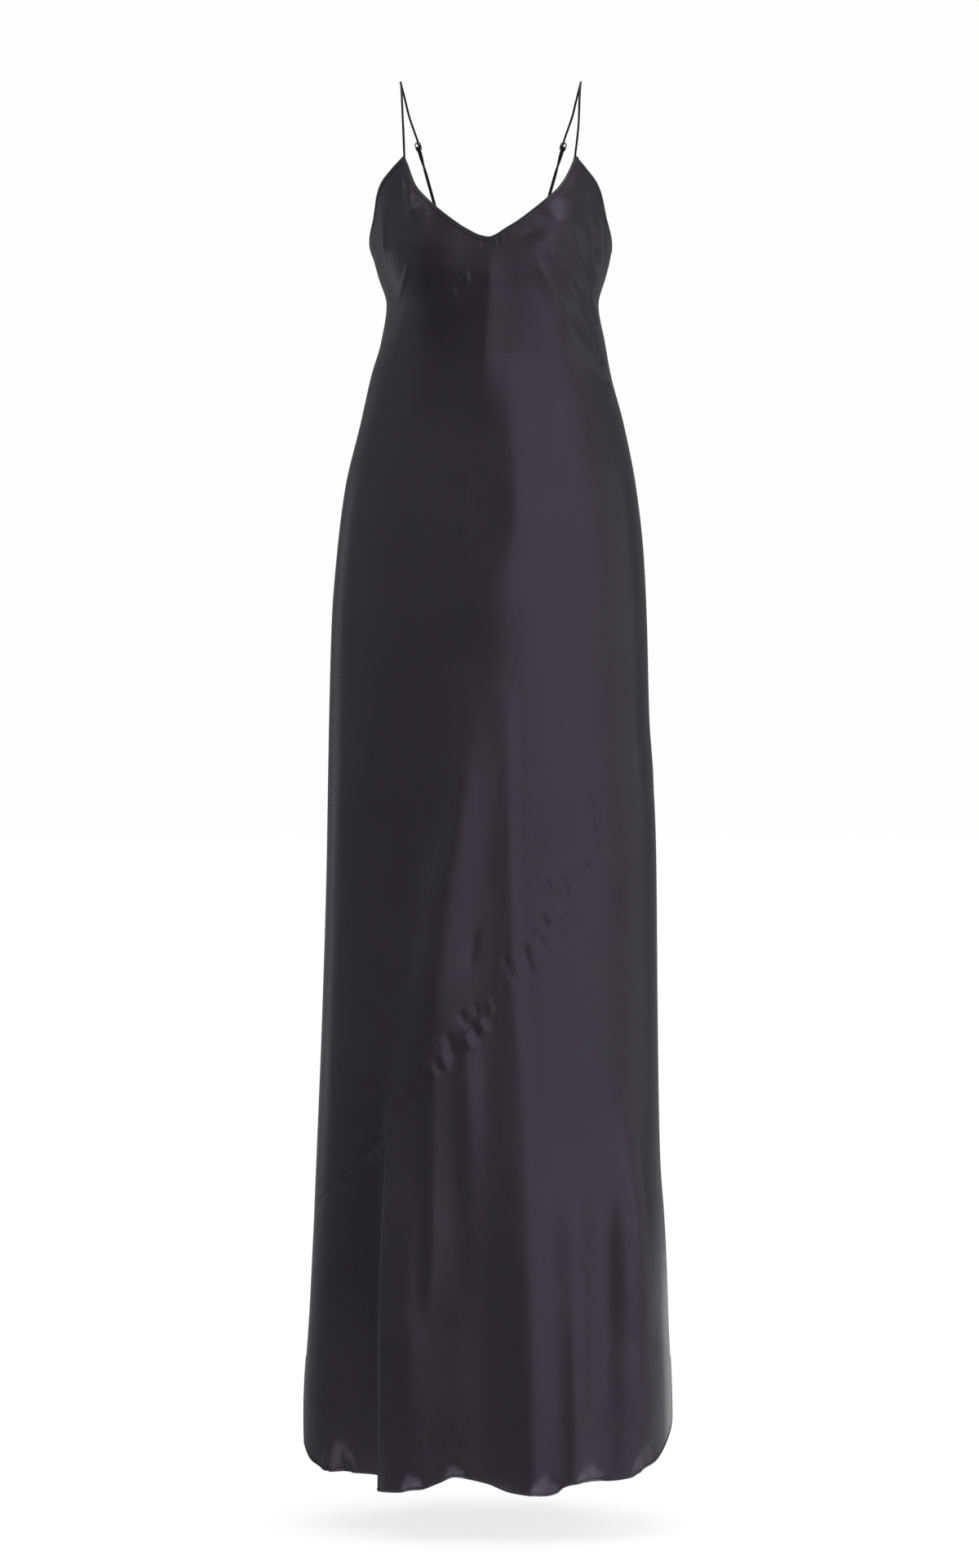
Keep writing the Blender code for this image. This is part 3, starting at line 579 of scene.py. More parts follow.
# %% Creases of the front
Crease = namedtuple("Crease", "x0 z0 x1 z1 wide0 wide1 depth fade_in fade_out crest lean bow",
                    defaults=(2.0, 0.0, 0.0))
FRONT_CREASES = [
    # Drag lines from the right cup down to the side
    Crease(0.0470, -0.2020, 0.0955, -0.3010, 0.0048, 0.0046, 0.0022, 0.30, 0.40, 1.7, -0.5, -0.001),
    Crease(0.0850, -0.2570, 0.1235, -0.3230, 0.0034, 0.0032, -0.0040, 0.40, 0.25, 1.8, 0.0, 0.001),
    Crease(0.0600, -0.1940, 0.1010, -0.2580, 0.0056, 0.0050, 0.0028, 0.16, 0.50, 1.7, -0.5, 0.001),
    Crease(0.0990, -0.2900, 0.1344, -0.3443, 0.0024, 0.0026, 0.0022, 0.30, 0.20, 1.5, -0.2),
    Crease(0.0825, -0.1760, 0.1065, -0.2620, 0.0058, 0.0050, 0.0032, 0.22, 0.50, 1.7, -0.5, 0.001),
    Crease(0.1155, -0.1529, 0.1170, -0.2230, 0.0040, 0.0036, 0.0040, 0.30, 0.30, 1.8),
    Crease(0.0200, -0.1900, 0.0740, -0.1660, 0.0100, 0.0100, -0.0019, 0.50, 0.40),
    Crease(0.1066, -0.2364, 0.1188, -0.2730, 0.0022, 0.0022, 0.0016, 0.30, 0.30, 1.5),
    Crease(0.0996, -0.1529, 0.1214, -0.1964, 0.0060, 0.0060, -0.0012, 0.40, 0.40),
    # and from the left cup, with two small dents beside the centre
    Crease(-0.1165, -0.1442, -0.1160, -0.2156, 0.0030, 0.0036, 0.0010, 0.35, 0.45, 1.8),
    Crease(-0.0866, -0.2034, -0.1161, -0.2939, 0.0022, 0.0020, 0.0008, 0.20, 0.20, 1.6, 0.3, 0.001),
    Crease(-0.0965, -0.1094, -0.0985, -0.1634, 0.0080, 0.0065, -0.0026, 0.40, 0.40),
    Crease(-0.0910, -0.1010, -0.0835, -0.1640, 0.0080, 0.0070, 0.0030, 0.30, 0.35),
    Crease(-0.0274, -0.2199, -0.0248, -0.2391, 0.0036, 0.0030, 0.0010, 0.40, 0.40),
    Crease(-0.0405, -0.2391, -0.0387, -0.2521, 0.0028, 0.0028, 0.0007, 0.40, 0.40),
    # Puckers at the point of the neckline
    Crease(0.0022, -0.1842, 0.0074, -0.1964, 0.0018, 0.0018, 0.0008, 0.25, 0.40),
    Crease(0.0091, -0.1825, 0.0144, -0.1938, 0.0018, 0.0018, 0.0008, 0.25, 0.40),
    Crease(0.0057, -0.1834, 0.0109, -0.1956, 0.0016, 0.0016, -0.0007, 0.25, 0.40),
    Crease(-0.0074, -0.1877, -0.0083, -0.2016, 0.0020, 0.0020, -0.0005, 0.25, 0.40),
    # Long thin drag lines down to the diagonal seam
    Crease(0.0966, -0.7444, 0.0800, -0.8580, 0.0019, 0.0019, -0.0008, 0.30, 0.15, 2.0, 0.0, 0.001),
    Crease(0.1088, -0.7794, 0.1202, -0.8475, 0.0030, 0.0034, -0.0011, 0.40, 0.10, 2.0, 0.3, 0.001),
    Crease(0.0721, -0.9105, 0.0773, -0.9524, 0.0030, 0.0030, -0.0007, 0.30, 0.40),
    # The deepest puckers of the seam
    Crease(0.0328, -0.9367, 0.0450, -0.9856, 0.0030, 0.0034, -0.0008, 0.30, 0.40, 2.0, 0.2),
    Crease(0.0109, -0.9524, 0.0302, -0.9909, 0.0026, 0.0030, -0.0009, 0.25, 0.30, 2.0, 0.2),
    Crease(-0.0170, -0.9227, -0.0258, -0.9716, 0.0058, 0.0058, -0.0012, 0.35, 0.35, 2.0, 0.0, 0.002),
    Crease(-0.0363, -1.0118, -0.0214, -1.0346, 0.0030, 0.0030, -0.0013, 0.30, 0.30),
    Crease(-0.0240, -1.0258, -0.0135, -1.0433, 0.0026, 0.0026, -0.0011, 0.30, 0.30),
    Crease(-0.0197, -1.0031, -0.0118, -1.0206, 0.0022, 0.0022, -0.0010, 0.30, 0.30),
    Crease(-0.0048, -1.0014, 0.0022, -1.0206, 0.0022, 0.0022, 0.0013, 0.30, 0.30, 1.6),
    Crease(-0.0153, -1.0206, -0.0031, -1.0416, 0.0050, 0.0050, 0.0016, 0.30, 0.30),
    Crease(-0.0310, -1.0346, -0.0170, -1.0590, 0.0055, 0.0050, 0.0016, 0.30, 0.30),
    Crease(-0.0485, -1.0346, -0.0345, -1.0713, 0.0042, 0.0042, -0.0012, 0.25, 0.35),
    Crease(-0.0538, -1.0555, -0.0433, -1.0835, 0.0034, 0.0034, 0.0014, 0.25, 0.35),
    Crease(-0.0651, -1.0678, -0.0538, -1.0888, 0.0036, 0.0036, 0.0014, 0.30, 0.30),
    Crease(0.0756, -0.8703, 0.0852, -0.8947, 0.0024, 0.0024, -0.0009, 0.25, 0.35),
    Crease(0.0712, -0.8860, 0.0782, -0.9087, 0.0024, 0.0024, -0.0009, 0.25, 0.35),
    Crease(0.0616, -0.8650, 0.0704, -0.8877, 0.0030, 0.0030, 0.0009, 0.30, 0.30),
    Crease(0.0529, -0.9087, 0.0625, -0.9297, 0.0028, 0.0028, -0.0010, 0.30, 0.30),
    Crease(0.0485, -0.9244, 0.0590, -0.9542, 0.0028, 0.0028, -0.0009, 0.25, 0.35),
]
print("creases of the front, placed by hand:", len(FRONT_CREASES))

# %% [markdown]
# All along the diagonal seam the thread gathers the cloth into tiny puckers that slant across it. They
# could be copied from one, but no two on a sewn seam are alike, and the eye finds a repeat at once. So
# dice choose the place, reach, width and depth of each, and always fall in the same way.

# %% Small puckers of the seam
SEAM_PUCKERS = 46
SEAM_HALF_WIDTH = 0.186    # of the dress, about where the diagonal seam crosses it
dice = random.Random(7)
for k in range(SEAM_PUCKERS):
    at = dice.uniform(-0.165, 0.165)
    lean_over = dice.uniform(0.25, 0.75)
    reach = dice.uniform(0.005, 0.012) * (1.3 if at < 0 else 0.9)
    middle = float(diagonal(asin(at / SEAM_HALF_WIDTH))) + dice.uniform(-0.004, 0.004)
    FRONT_CREASES.append(Crease(
        at - reach * lean_over, middle + reach, at + reach * lean_over, middle - reach,
        dice.uniform(0.0016, 0.0028), dice.uniform(0.0016, 0.0028),
        dice.choice((-1, -1, 1)) * dice.uniform(0.0002, 0.0008), 0.35, 0.35))
print("creases of the front with its puckers:", len(FRONT_CREASES))

# %% [markdown]
# The back is plainer: the hollow of the spine, two long ridges where the skirt hangs from the seat,
# drag lines from the two places that the straps hold, and soft folds in the small of the back. They
# are written in the same rows as the relief of the front, so one reader serves both.

# %% Relief of the back
BACK_STREAKS = (
    Streak("spine", 2.0, 0.0, (
        At(-0.200, 0.0, 0.026, 0.0), At(-0.280, 0.001, 0.026, -0.0030),
        At(-0.360, 0.002, 0.028, -0.0042), At(-0.440, 0.003, 0.032, -0.0030),
        At(-0.540, 0.004, 0.036, 0.0))),
    Streak("left long ridge", 1.8, -0.4, (
        At(-0.640, 0.026, 0.024, 0.0), At(-0.740, 0.034, 0.024, 0.0042),
        At(-0.860, 0.045, 0.026, 0.0072), At(-0.980, 0.054, 0.028, 0.0082),
        At(-1.120, 0.060, 0.030, 0.0050), At(-1.260, 0.062, 0.030, 0.0))),
    Streak("right long ridge", 1.8, 0.4, (
        At(-0.700, -0.034, 0.018, 0.0), At(-0.800, -0.042, 0.018, 0.0030),
        At(-0.920, -0.054, 0.020, 0.0052), At(-1.040, -0.064, 0.022, 0.0050),
        At(-1.180, -0.070, 0.024, 0.0))),
    Streak("thread", 2.0, 0.0, (
        At(-0.560, -0.062, 0.006, 0.0), At(-0.620, -0.064, 0.006, 0.0008),
        At(-0.720, -0.068, 0.007, 0.0008), At(-0.780, -0.070, 0.007, 0.0))),
)
BACK_CREASES = [
    # Drag lines from the two places where the straps hold the back
    Crease(0.0500, -0.1720, 0.0900, -0.2550, 0.0040, 0.0060, 0.0016, 0.10, 0.60, 1.8, 0.0, 0.002),
    Crease(0.0500, -0.1720, 0.0280, -0.2450, 0.0036, 0.0060, 0.0012, 0.10, 0.60, 1.8, 0.0, -0.001),
    Crease(-0.0500, -0.1720, -0.0940, -0.2480, 0.0040, 0.0060, 0.0018, 0.10, 0.60, 1.8, 0.0, -0.002),
    Crease(-0.0500, -0.1720, -0.0240, -0.2360, 0.0036, 0.0060, 0.0011, 0.10, 0.60, 1.8, 0.0, 0.001),
    # Soft folds where the cloth rests in the small of the back
    Crease(-0.1050, -0.3150, -0.0180, -0.3620, 0.0060, 0.0080, 0.0022, 0.30, 0.40, 1.8, 0.2, 0.004),
    Crease(-0.0980, -0.3620, -0.0060, -0.3950, 0.0060, 0.0080, 0.0018, 0.30, 0.40, 1.8, 0.2, 0.003),
    Crease(0.1080, -0.3060, 0.0220, -0.3480, 0.0060, 0.0080, 0.0020, 0.30, 0.40, 1.8, 0.2, -0.004),
    Crease(0.1120, -0.3500, 0.0120, -0.3880, 0.0060, 0.0080, 0.0016, 0.30, 0.40, 1.8, 0.2, -0.003),
    Crease(0.0640, -0.4080, 0.0040, -0.4220, 0.0070, 0.0080, 0.0012, 0.35, 0.35, 2.0, 0.0, -0.002),
]
print("back: streaks", len(BACK_STREAKS), "creases", len(BACK_CREASES))

# %% [markdown]
# A streak or crease is a height over the plain cloth that fades like a bell to either side of its
# middle. They could be laid on one after another, each on the last one's slopes, but then their order
# would matter. As heights they simply add up.

# %% Heights of the relief
def streak_height(streaks, x, z):
    """How high the streaks stand at x and z, all together."""
    height = np.zeros_like(x)
    for streak in streaks:
        middle, wide, depth = (smooth_through([(at.z, getattr(at, what)) for at in streak.course])
                               for what in ("x", "wide", "depth"))
        away = (x - middle(z)) / wide(z)
        away = away / (1 + streak.lean * np.tanh(away))
        height += depth(z) * np.exp(-np.abs(away) ** streak.crest)
    return height


def crease_height(creases, x, z):
    """The same for the creases, each measured along and across its own line."""
    height = np.zeros_like(x)
    for c in creases:
        length = sqrt((c.x1 - c.x0) ** 2 + (c.z1 - c.z0) ** 2)
        right, up = (c.x1 - c.x0) / length, (c.z1 - c.z0) / length
        along = ((x - c.x0) * right + (z - c.z0) * up) / length
        inside = np.clip(along, 0, 1)
        away = (z - c.z0) * right - (x - c.x0) * up - c.bow * 4 * inside * (1 - inside)
        away = away / (c.wide0 + (c.wide1 - c.wide0) * inside)
        away = away / (1 + c.lean * np.tanh(away))
        fade = ease(along / c.fade_in) * ease((1 - along) / c.fade_out)
        height += c.depth * fade * np.exp(-np.abs(away) ** c.crest)
    return height


at_belly = float(streak_height(FRONT_STREAKS, np.array([0.028]), np.array([-0.44]))[0])
print("height of the belly's streak, mm:", round(1000 * at_belly, 1))

# %% [markdown]
# Every height is laid on along the normal of the plain cloth, which comes from small steps on it.
# Where two panels are sewn, the cloth rolls into the seam, because its turnings lie inside. A dark line
# painted there would do from afar; a real dip also shades as the light moves. So each panel dips a
# little towards its sewn edges.

# %% Normals and seams
SEAM_DIP = 0.0002
SEAM_ROLL = 0.0016         # how far from the seam line the dip reaches
STEP = 0.002               # in angle and height, for slopes of the surface


def unit(rows):
    return rows / np.linalg.norm(rows, axis=-1, keepdims=True)


def plain_normal(side, angle, z):
    along = surface(side, angle + STEP, z) - surface(side, angle - STEP, z)
    up = surface(side, angle, z + STEP) - surface(side, angle, z - STEP)
    normal = unit(np.cross(along, up))
    outward = np.stack((np.sin(angle), side * np.cos(angle), np.zeros_like(angle)), axis=-1)
    facing = np.sign(np.sum(normal * outward, axis=-1, keepdims=True))
    return normal * facing


def seam_dip(side, angle, z):
    half, depth = ring_at(side, angle, z)
    from_side = (pi / 2 - np.abs(angle)) * depth
    dip = np.where(z > SLIT_TOP, np.exp(-(from_side / SEAM_ROLL) ** 2), 0.0)
    if side == FRONT:
        slope = (diagonal(angle + STEP) - diagonal(angle - STEP)) / (
            half * (np.sin(angle + STEP) - np.sin(angle - STEP)) + 1e-9)
        from_seam = (z - diagonal(angle)) / np.sqrt(1 + slope ** 2)
        dip = np.maximum(dip, np.exp(-(from_seam / SEAM_ROLL) ** 2))
    return dip * SEAM_DIP


side_dip = float(seam_dip(BACK, np.array([pi / 2]), np.array([-0.5]))[0])
print("dip on the side seam, mm:", round(1000 * side_dip, 2))

# %% [markdown]
# A long bias hem never hangs quite flat. Here and there it curls in or out over a few centimetres, and
# the turned fold slides over the cloth beside it. Where the cloth curls, and at the cups where it was
# pressed, it is crinkled too finely for its grid. How much is kept for every point, 0 to 1, and the
# satin reads that value and roughens itself there.

# %% Hem curls, the turned fold and crinkles
LAP_SHIFT = 0.011          # how far the turned fold slides over the cloth beside it
Curl = namedtuple("Curl", "x wide reach depth")     # depth below 0 turns the edge inwards
CURLS = {
    FRONT: (
        Curl(-0.1910, 0.0060, 0.022, -0.0070), Curl(-0.1810, 0.0040, 0.028, -0.0060),
        Curl(-0.1640, 0.0060, 0.036, -0.0100), Curl(-0.1555, 0.0050, 0.024, -0.0070),
        Curl(-0.0880, 0.0050, 0.022, -0.0050), Curl(-0.0800, 0.0050, 0.014, -0.0045),
        Curl(-0.0410, 0.0050, 0.018, -0.0045), Curl(-0.0325, 0.0045, 0.012, -0.0035),
        Curl(0.0500, 0.0050, 0.018, -0.0055), Curl(0.0590, 0.0060, 0.030, -0.0080),
        Curl(0.0680, 0.0040, 0.016, -0.0050), Curl(0.0980, 0.0060, 0.014, -0.0050),
        Curl(0.1080, 0.0060, 0.020, -0.0065), Curl(0.1170, 0.0040, 0.012, -0.0040),
        Curl(0.1590, 0.0050, 0.026, -0.0070), Curl(0.1690, 0.0060, 0.040, -0.0095),
        Curl(0.1320, 0.0120, 0.012, 0.0030), Curl(0.0140, 0.0140, 0.012, 0.0030),
    ),
    BACK: (
        Curl(-0.1640, 0.0140, 0.028, -0.0080), Curl(-0.0900, 0.0120, 0.020, -0.0060),
        Curl(-0.0300, 0.0140, 0.016, 0.0040), Curl(0.0250, 0.0120, 0.022, -0.0070),
        Curl(0.0840, 0.0120, 0.018, -0.0050), Curl(0.1560, 0.0140, 0.030, -0.0090),
    ),
}


def above_hem(side, angle, z):
    return np.maximum(z - (front_hem if side == FRONT else back_hem)(angle), 0.0)


def hem_curl(side, angle, x, z):
    """How far the cloth beside the hem has curled out or in."""
    above = above_hem(side, angle, z)
    height = np.zeros_like(x)
    for curl in CURLS[side]:
        near = np.clip(1 - above / curl.reach, 0, 1)
        height += curl.depth * near ** 2 * np.exp(-((x - curl.x) / curl.wide) ** 2)
    return height


def lap_slide(x, z):
    """How far cloth at x is carried to the left by the turned fold."""
    lap = FRONT_FOLDS[0]
    down, middle = fold_at(lap, z)
    away = (x - middle) / lap.edge
    return -LAP_SHIFT * ease(down) * away * np.exp(-away ** 2)


Spot = namedtuple("Spot", "x z wide high much")
CRUSHED_SPOTS = (Spot(0.0780, -0.1910, 0.011, 0.015, 0.8), Spot(-0.0830, -0.1560, 0.008, 0.010, 0.2))


def crushed(side, angle, x, z):
    """How crinkled the cloth is, 0 to 1: most beside the curled parts of the hem, and at the cups."""
    above = above_hem(side, angle, z)
    much = np.zeros_like(x)
    for curl in CURLS[side]:
        near = np.clip(1 - above / (curl.reach * 1.2), 0, 1)
        much += near * np.exp(-((x - curl.x) / (curl.wide * 1.3)) ** 2)
    if side == FRONT:
        for spot in CRUSHED_SPOTS:
            across, up = (x - spot.x) / spot.wide, (z - spot.z) / spot.high
            much += spot.much * np.exp(-across ** 2 - up ** 2)
    return np.clip(much, 0, 1)


print("curls of the hem:", {("front" if side == FRONT else "back"): len(CURLS[side]) for side in CURLS})

# %% [markdown]
# Now every point of the cloth has its place: the plain surface with its folds, plus the relief, the
# curls and the seam's dip along the normal, plus the slide of the turned fold. All that is sewn to the
# cloth later asks here for its place, so nothing floats.

# %% Place of every point of the cloth
def cloth(side, angle, z, lift=0.0):
    """Points of the finished cloth's outer face, or lift above it."""
    angle, z = np.broadcast_arrays(np.asarray(angle, float), np.asarray(z, float))
    places = surface(side, angle, z)
    normals = plain_normal(side, angle, z)
    x = places[..., 0]
    streaks, creases = ((FRONT_STREAKS, FRONT_CREASES) if side == FRONT
                        else (BACK_STREAKS, BACK_CREASES))
    relief = streak_height(streaks, x, z) + crease_height(creases, x, z)
    relief = relief + hem_curl(side, angle, x, z) - seam_dip(side, angle, z) + lift
    places = places + normals * relief[..., None]
    if side == FRONT:
        places[..., 0] += lap_slide(x, z)
    return places


print("centre front at the waist:", cloth(FRONT, 0.0, -0.35).round(4).tolist())

# %% [markdown]
# Cloth, thread and metal are not even: they vary in tone, in gloss and in a relief too fine for the
# mesh. An image of each could be wrapped round it, but it blurs close by and repeats. A few noises and
# waves stay sharp at any distance. These helpers make such a step each, so that a finish below reads
# as a short recipe.

# %% Helpers for the finishes
def new_material(name):
    material = bpy.data.materials.new(name)
    material.use_nodes = True
    return material, material.node_tree.nodes, material.node_tree.links


def add_node(nodes, kind, **inputs):
    node = nodes.new(kind)
    for label, value in inputs.items():
        node.inputs[label.replace("_", " ")].default_value = value
    return node


def noise(nodes, links, at, **inputs):
    """A noise read at the given place."""
    texture = add_node(nodes, "ShaderNodeTexNoise", **inputs)
    links.new(at, texture.inputs["Vector"])
    return texture.outputs["Fac"]


def spread(nodes, links, value, low, high):
    """A value of 0 to 1, spread from low to high."""
    node = add_node(nodes, "ShaderNodeMapRange", To_Min=low, To_Max=high)
    links.new(value, node.inputs["Value"])
    return node.outputs["Result"]


def bump(nodes, links, height, strength, distance, under=None):
    """Relief too fine for the mesh; under is the relief that it lies on."""
    node = add_node(nodes, "ShaderNodeBump", Strength=strength, Distance=distance)
    links.new(height, node.inputs["Height"])
    if under is not None:
        links.new(under, node.inputs["Normal"])
    return node.outputs["Normal"]


print("helpers:", [helper.__name__ for helper in (new_material, add_node, noise, spread, bump)])

# %% [markdown]
# Satin on the bias: a near-black with a breath of violet. The weave shows as very fine slanting
# floats, the threads vary a little in tone, and the cloth remembers how it was folded as faint soft
# dents. The pattern follows the cloth through its own UV map, in metres, turned by 45 degrees. The
# straps are of the same satin, but it is stretched and rubbed there, so it is duller.

# %% Satin
WEAVE_TURN = radians(45)
TONES = ((0.3, (0.0105, 0.0090, 0.0125, 1)), (0.7, (0.0135, 0.0125, 0.0155, 1)))


def make_satin(name, specular, dullest):
    material, nodes, links = new_material(name)
    shader = nodes["Principled BSDF"]
    shader.inputs["IOR"].default_value = 1.5
    shader.inputs["Specular IOR Level"].default_value = specular
    shader.inputs["Specular Tint"].default_value = (0.90, 0.86, 1.0, 1)
    shader.inputs["Sheen Weight"].default_value = 0.02
    shader.inputs["Sheen Roughness"].default_value = 0.4
    cloth_map = nodes.new("ShaderNodeUVMap")
    cloth_map.uv_map = "cloth"
    straight = cloth_map.outputs["UV"]
    bias = add_node(nodes, "ShaderNodeMapping", Rotation=(0, 0, WEAVE_TURN))
    links.new(straight, bias.inputs["Vector"])
    slanting = bias.outputs["Vector"]

    colour = nodes.new("ShaderNodeValToRGB")
    for element, (position, tone) in zip(colour.color_ramp.elements, TONES):
        element.position, element.color = position, tone
    tones = noise(nodes, links, straight, Scale=14.0, Detail=3.0, Roughness=0.55)
    links.new(tones, colour.inputs["Fac"])
    links.new(colour.outputs["Color"], shader.inputs["Base Color"])
    threads = noise(nodes, links, slanting, Scale=700.0, Detail=2.0, Roughness=0.6)
    links.new(spread(nodes, links, threads, dullest - 0.08, dullest), shader.inputs["Roughness"])

    floats = add_node(nodes, "ShaderNodeTexWave", Scale=500.0, Distortion=1.5, Detail=1.0)
    links.new(slanting, floats.inputs["Vector"])
    stretched = add_node(nodes, "ShaderNodeMapping", Scale=(1.0, 0.35, 1.0))
    links.new(straight, stretched.inputs["Vector"])
    dents = noise(nodes, links, stretched.outputs["Vector"], Scale=26.0, Detail=2.0, Roughness=0.45)
    how_crushed = nodes.new("ShaderNodeAttribute")
    how_crushed.attribute_name = "crushed"
    crinkles = nodes.new("ShaderNodeMath")
    crinkles.operation = "MULTIPLY"
    links.new(noise(nodes, links, straight, Scale=420.0, Detail=3.0, Roughness=0.7), crinkles.inputs[0])
    links.new(how_crushed.outputs["Fac"], crinkles.inputs[1])

    normal = bump(nodes, links, floats.outputs["Fac"], 0.12, 0.0001)
    normal = bump(nodes, links, threads, 1.0, 0.000012, normal)
    normal = bump(nodes, links, dents, 0.5, 0.0012, normal)
    normal = bump(nodes, links, crinkles.outputs["Value"], 1.0, 0.0014, normal)
    links.new(normal, shader.inputs["Normal"])
    return material


satin = make_satin("dark bias satin", 0.5, 0.31)
rouleau_satin = make_satin("dark rouleau satin", 0.12, 0.50)
print("materials:", satin.name, "and", rouleau_satin.name)

# %% [markdown]
# A piece of cloth starts as a flat grid, as it lies on the table before it is worn. Its rows and
# columns are then laid on their places round the body, closer together where the cloth turns
# sharply. The UV map measures the cloth along its own rows and columns, so the weave keeps its
# scale everywhere. Each finished piece rides on the one body of the frame.

# %% Grids of cloth
def crowded(start, stop, count, *crowds):
    """Values from start to stop, closer together near each (place, reach, times)."""
    fine = np.linspace(start, stop, 4001)
    density = np.ones_like(fine)
    for place, reach, times in crowds:
        density += times * np.exp(-((fine - place) / reach) ** 2)
    share = np.concatenate(([0.0], np.cumsum((density[1:] + density[:-1]) / 2)))
    return np.interp(np.linspace(0, share[-1], count + 1), share, fine)


def lay_grid(bm, table, closed=False, crush=None):
    """A flat grid laid on a table of places; its UV map measures the cloth in metres.

    Gives back the faces, and how wide and how long the cloth is.
    """
    rows, columns = table.shape[:2]
    made = bmesh.ops.create_grid(bm, x_segments=columns - 1, y_segments=rows - 1, size=1.0)["verts"]
    seat = {}
    for vert in made:
        seat[vert] = (round((1 - vert.co.y) / 2 * (rows - 1)),
                      round((vert.co.x + 1) / 2 * (columns - 1)))
    for vert, at in seat.items():
        vert.co = table[at]
    across = np.linalg.norm(np.diff(table, axis=1), axis=2)
    across = np.concatenate((np.zeros((rows, 1)), np.cumsum(across, axis=1)), axis=1)
    across -= across[:, columns // 2:columns // 2 + 1]
    down = np.linalg.norm(np.diff(table, axis=0), axis=2)
    down = np.concatenate((np.zeros((1, columns)), np.cumsum(down, axis=0)), axis=0)
    down -= table[:1, :, 2]
    uv = bm.loops.layers.uv.get("cloth") or bm.loops.layers.uv.new("cloth")
    faces = list(dict.fromkeys(face for vert in made for face in vert.link_faces))
    for face in faces:
        for loop in face.loops:
            at = seat[loop.vert]
            loop[uv].uv = (across[at], -down[at])
    if crush is not None:
        layer = bm.verts.layers.float["crushed"]
        for vert, at in seat.items():
            vert[layer] = crush[at]
    if closed:
        bmesh.ops.remove_doubles(bm, verts=made, dist=1e-7)
    size = float(across[:, -1].max() - across[:, 0].min()), float(down.max() - down.min())
    return faces, size


def put(name, bm, material):
    """Make a piece of the dress from bm: it rides with the one body."""
    mesh = bpy.data.meshes.new(name)
    bm.normal_update()
    bm.to_mesh(mesh)
    bm.free()
    mesh.shade_smooth()
    mesh.materials.append(material)
    piece = bpy.data.objects.new(name, mesh)
    bpy.context.collection.objects.link(piece)
    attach(piece, BODY)
    return piece


print("columns of a crowded grid:", crowded(0, 1, 4, (0, 0.2, 2.0)).round(3).tolist())

# %% [markdown]
# The front is cut in two panels and the back in one. A Solidify modifier could give each its thickness,
# but an inner face at an even distance pokes through sharp creases. So each is a closed thin shell: an
# outer grid with all the relief, and a coarser inner grid that is laid half a millimetre below the
# lowest place round it. The two are joined round the edge. The columns start anew at each point of the
# neckline and at each ring, so those corners stay sharp.

# %% Panels
SATIN_THICKNESS = 0.0005
INNER_STEP = 3             # the inner face has a third of the rows and columns


def panel(name, side, columns, rows, top, bottom):
    """A closed thin shell; rows are shares from the top edge, 0, to the bottom edge, 1."""
    angle = np.broadcast_to(columns, (len(rows), len(columns)))
    z = top(angle) + (bottom(angle) - top(angle)) * np.asarray(rows)[:, None]
    angle = angle / (pi / 2) * side_limit(z)
    outer = cloth(side, angle, z)
    bm = bmesh.new()
    bm.verts.layers.float.new("crushed")
    faces, size = lay_grid(bm, outer, crush=crushed(side, angle, outer[..., 0], z))
    inner = cloth(side, angle, z, -SATIN_THICKNESS)
    normals = plain_normal(side, angle, z)
    sunk = np.sum((inner - surface(side, angle, z)) * normals, axis=2)
    padded = np.pad(sunk, INNER_STEP, mode="edge")
    around = (2 * INNER_STEP + 1,) * 2
    lowest = np.lib.stride_tricks.sliding_window_view(padded, around).min(axis=(2, 3))
    inner += normals * (lowest - sunk)[..., None]
    inside, _ = lay_grid(bm, inner[::INNER_STEP, ::INNER_STEP])
    bmesh.ops.reverse_faces(bm, faces=faces if side == FRONT else inside)
    border = [edge for edge in bm.edges if edge.is_boundary]
    bmesh.ops.bridge_loops(bm, edges=border)
    for edge in border:
        edge.smooth = False
    piece = put(name, bm, satin)
    print(name, "quads:", len(piece.data.polygons), "widest and longest, metres:",
          [round(s, 3) for s in size])
    return piece


left_apex, right_apex = angle_at(APEX_LEFT), angle_at(APEX_RIGHT)
# Where the columns crowd: angle, how far that reaches, and how much closer they lie
LEFT_SIDE, RIGHT_SIDE, LAP = (-pi / 2, 0.03, 2.0), (pi / 2, 0.03, 2.0), (-0.70, 0.06, 2.0)
front_columns = np.concatenate((
    crowded(-pi / 2, left_apex, 66, LEFT_SIDE, LAP),
    crowded(left_apex, right_apex, 129, LAP)[1:],
    crowded(right_apex, pi / 2, 51, RIGHT_SIDE)[1:]))
front_upper = panel(
    "front_upper_cloth", FRONT, front_columns,
    crowded(0, 1, 300, (0.08, 0.16, 2.4), (1, 0.04, 2.4)), front_top, diagonal)
front_lower = panel(
    "front_lower_cloth", FRONT, front_columns,
    crowded(0, 1, 210, (0, 0.10, 2.5), (1, 0.05, 2.0)), diagonal, front_hem)
hold_angle = angle_at(HOLD_RIGHT)
back_columns = np.concatenate((
    crowded(-pi / 2, -hold_angle, 63, LEFT_SIDE),
    crowded(-hold_angle, hold_angle, 51)[1:],
    crowded(hold_angle, pi / 2, 63, RIGHT_SIDE)[1:]))
back = panel(
    "back_cloth", BACK, back_columns,
    crowded(0, 1, 270, (0, 0.03, 1.5), (1, 0.03, 1.5)), back_top, back_hem)
for piece, node in ((front_upper, "front_upper"), (front_lower, "front_lower"), (back, "back")):
    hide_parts(node)

# %% [markdown]
# Bindings, hems, seam turnings and stitches all follow an edge of the cloth. Such a line is a row of
# angles and heights at an even spacing, and each place beside it is asked of the cloth itself. A trim
# could be modelled flat and shrink-wrapped on, but it would slip in the folds. This way it sits
# exactly.

# %% Lines on the cloth
STRIP_STEP = 0.003         # between the places along a strip
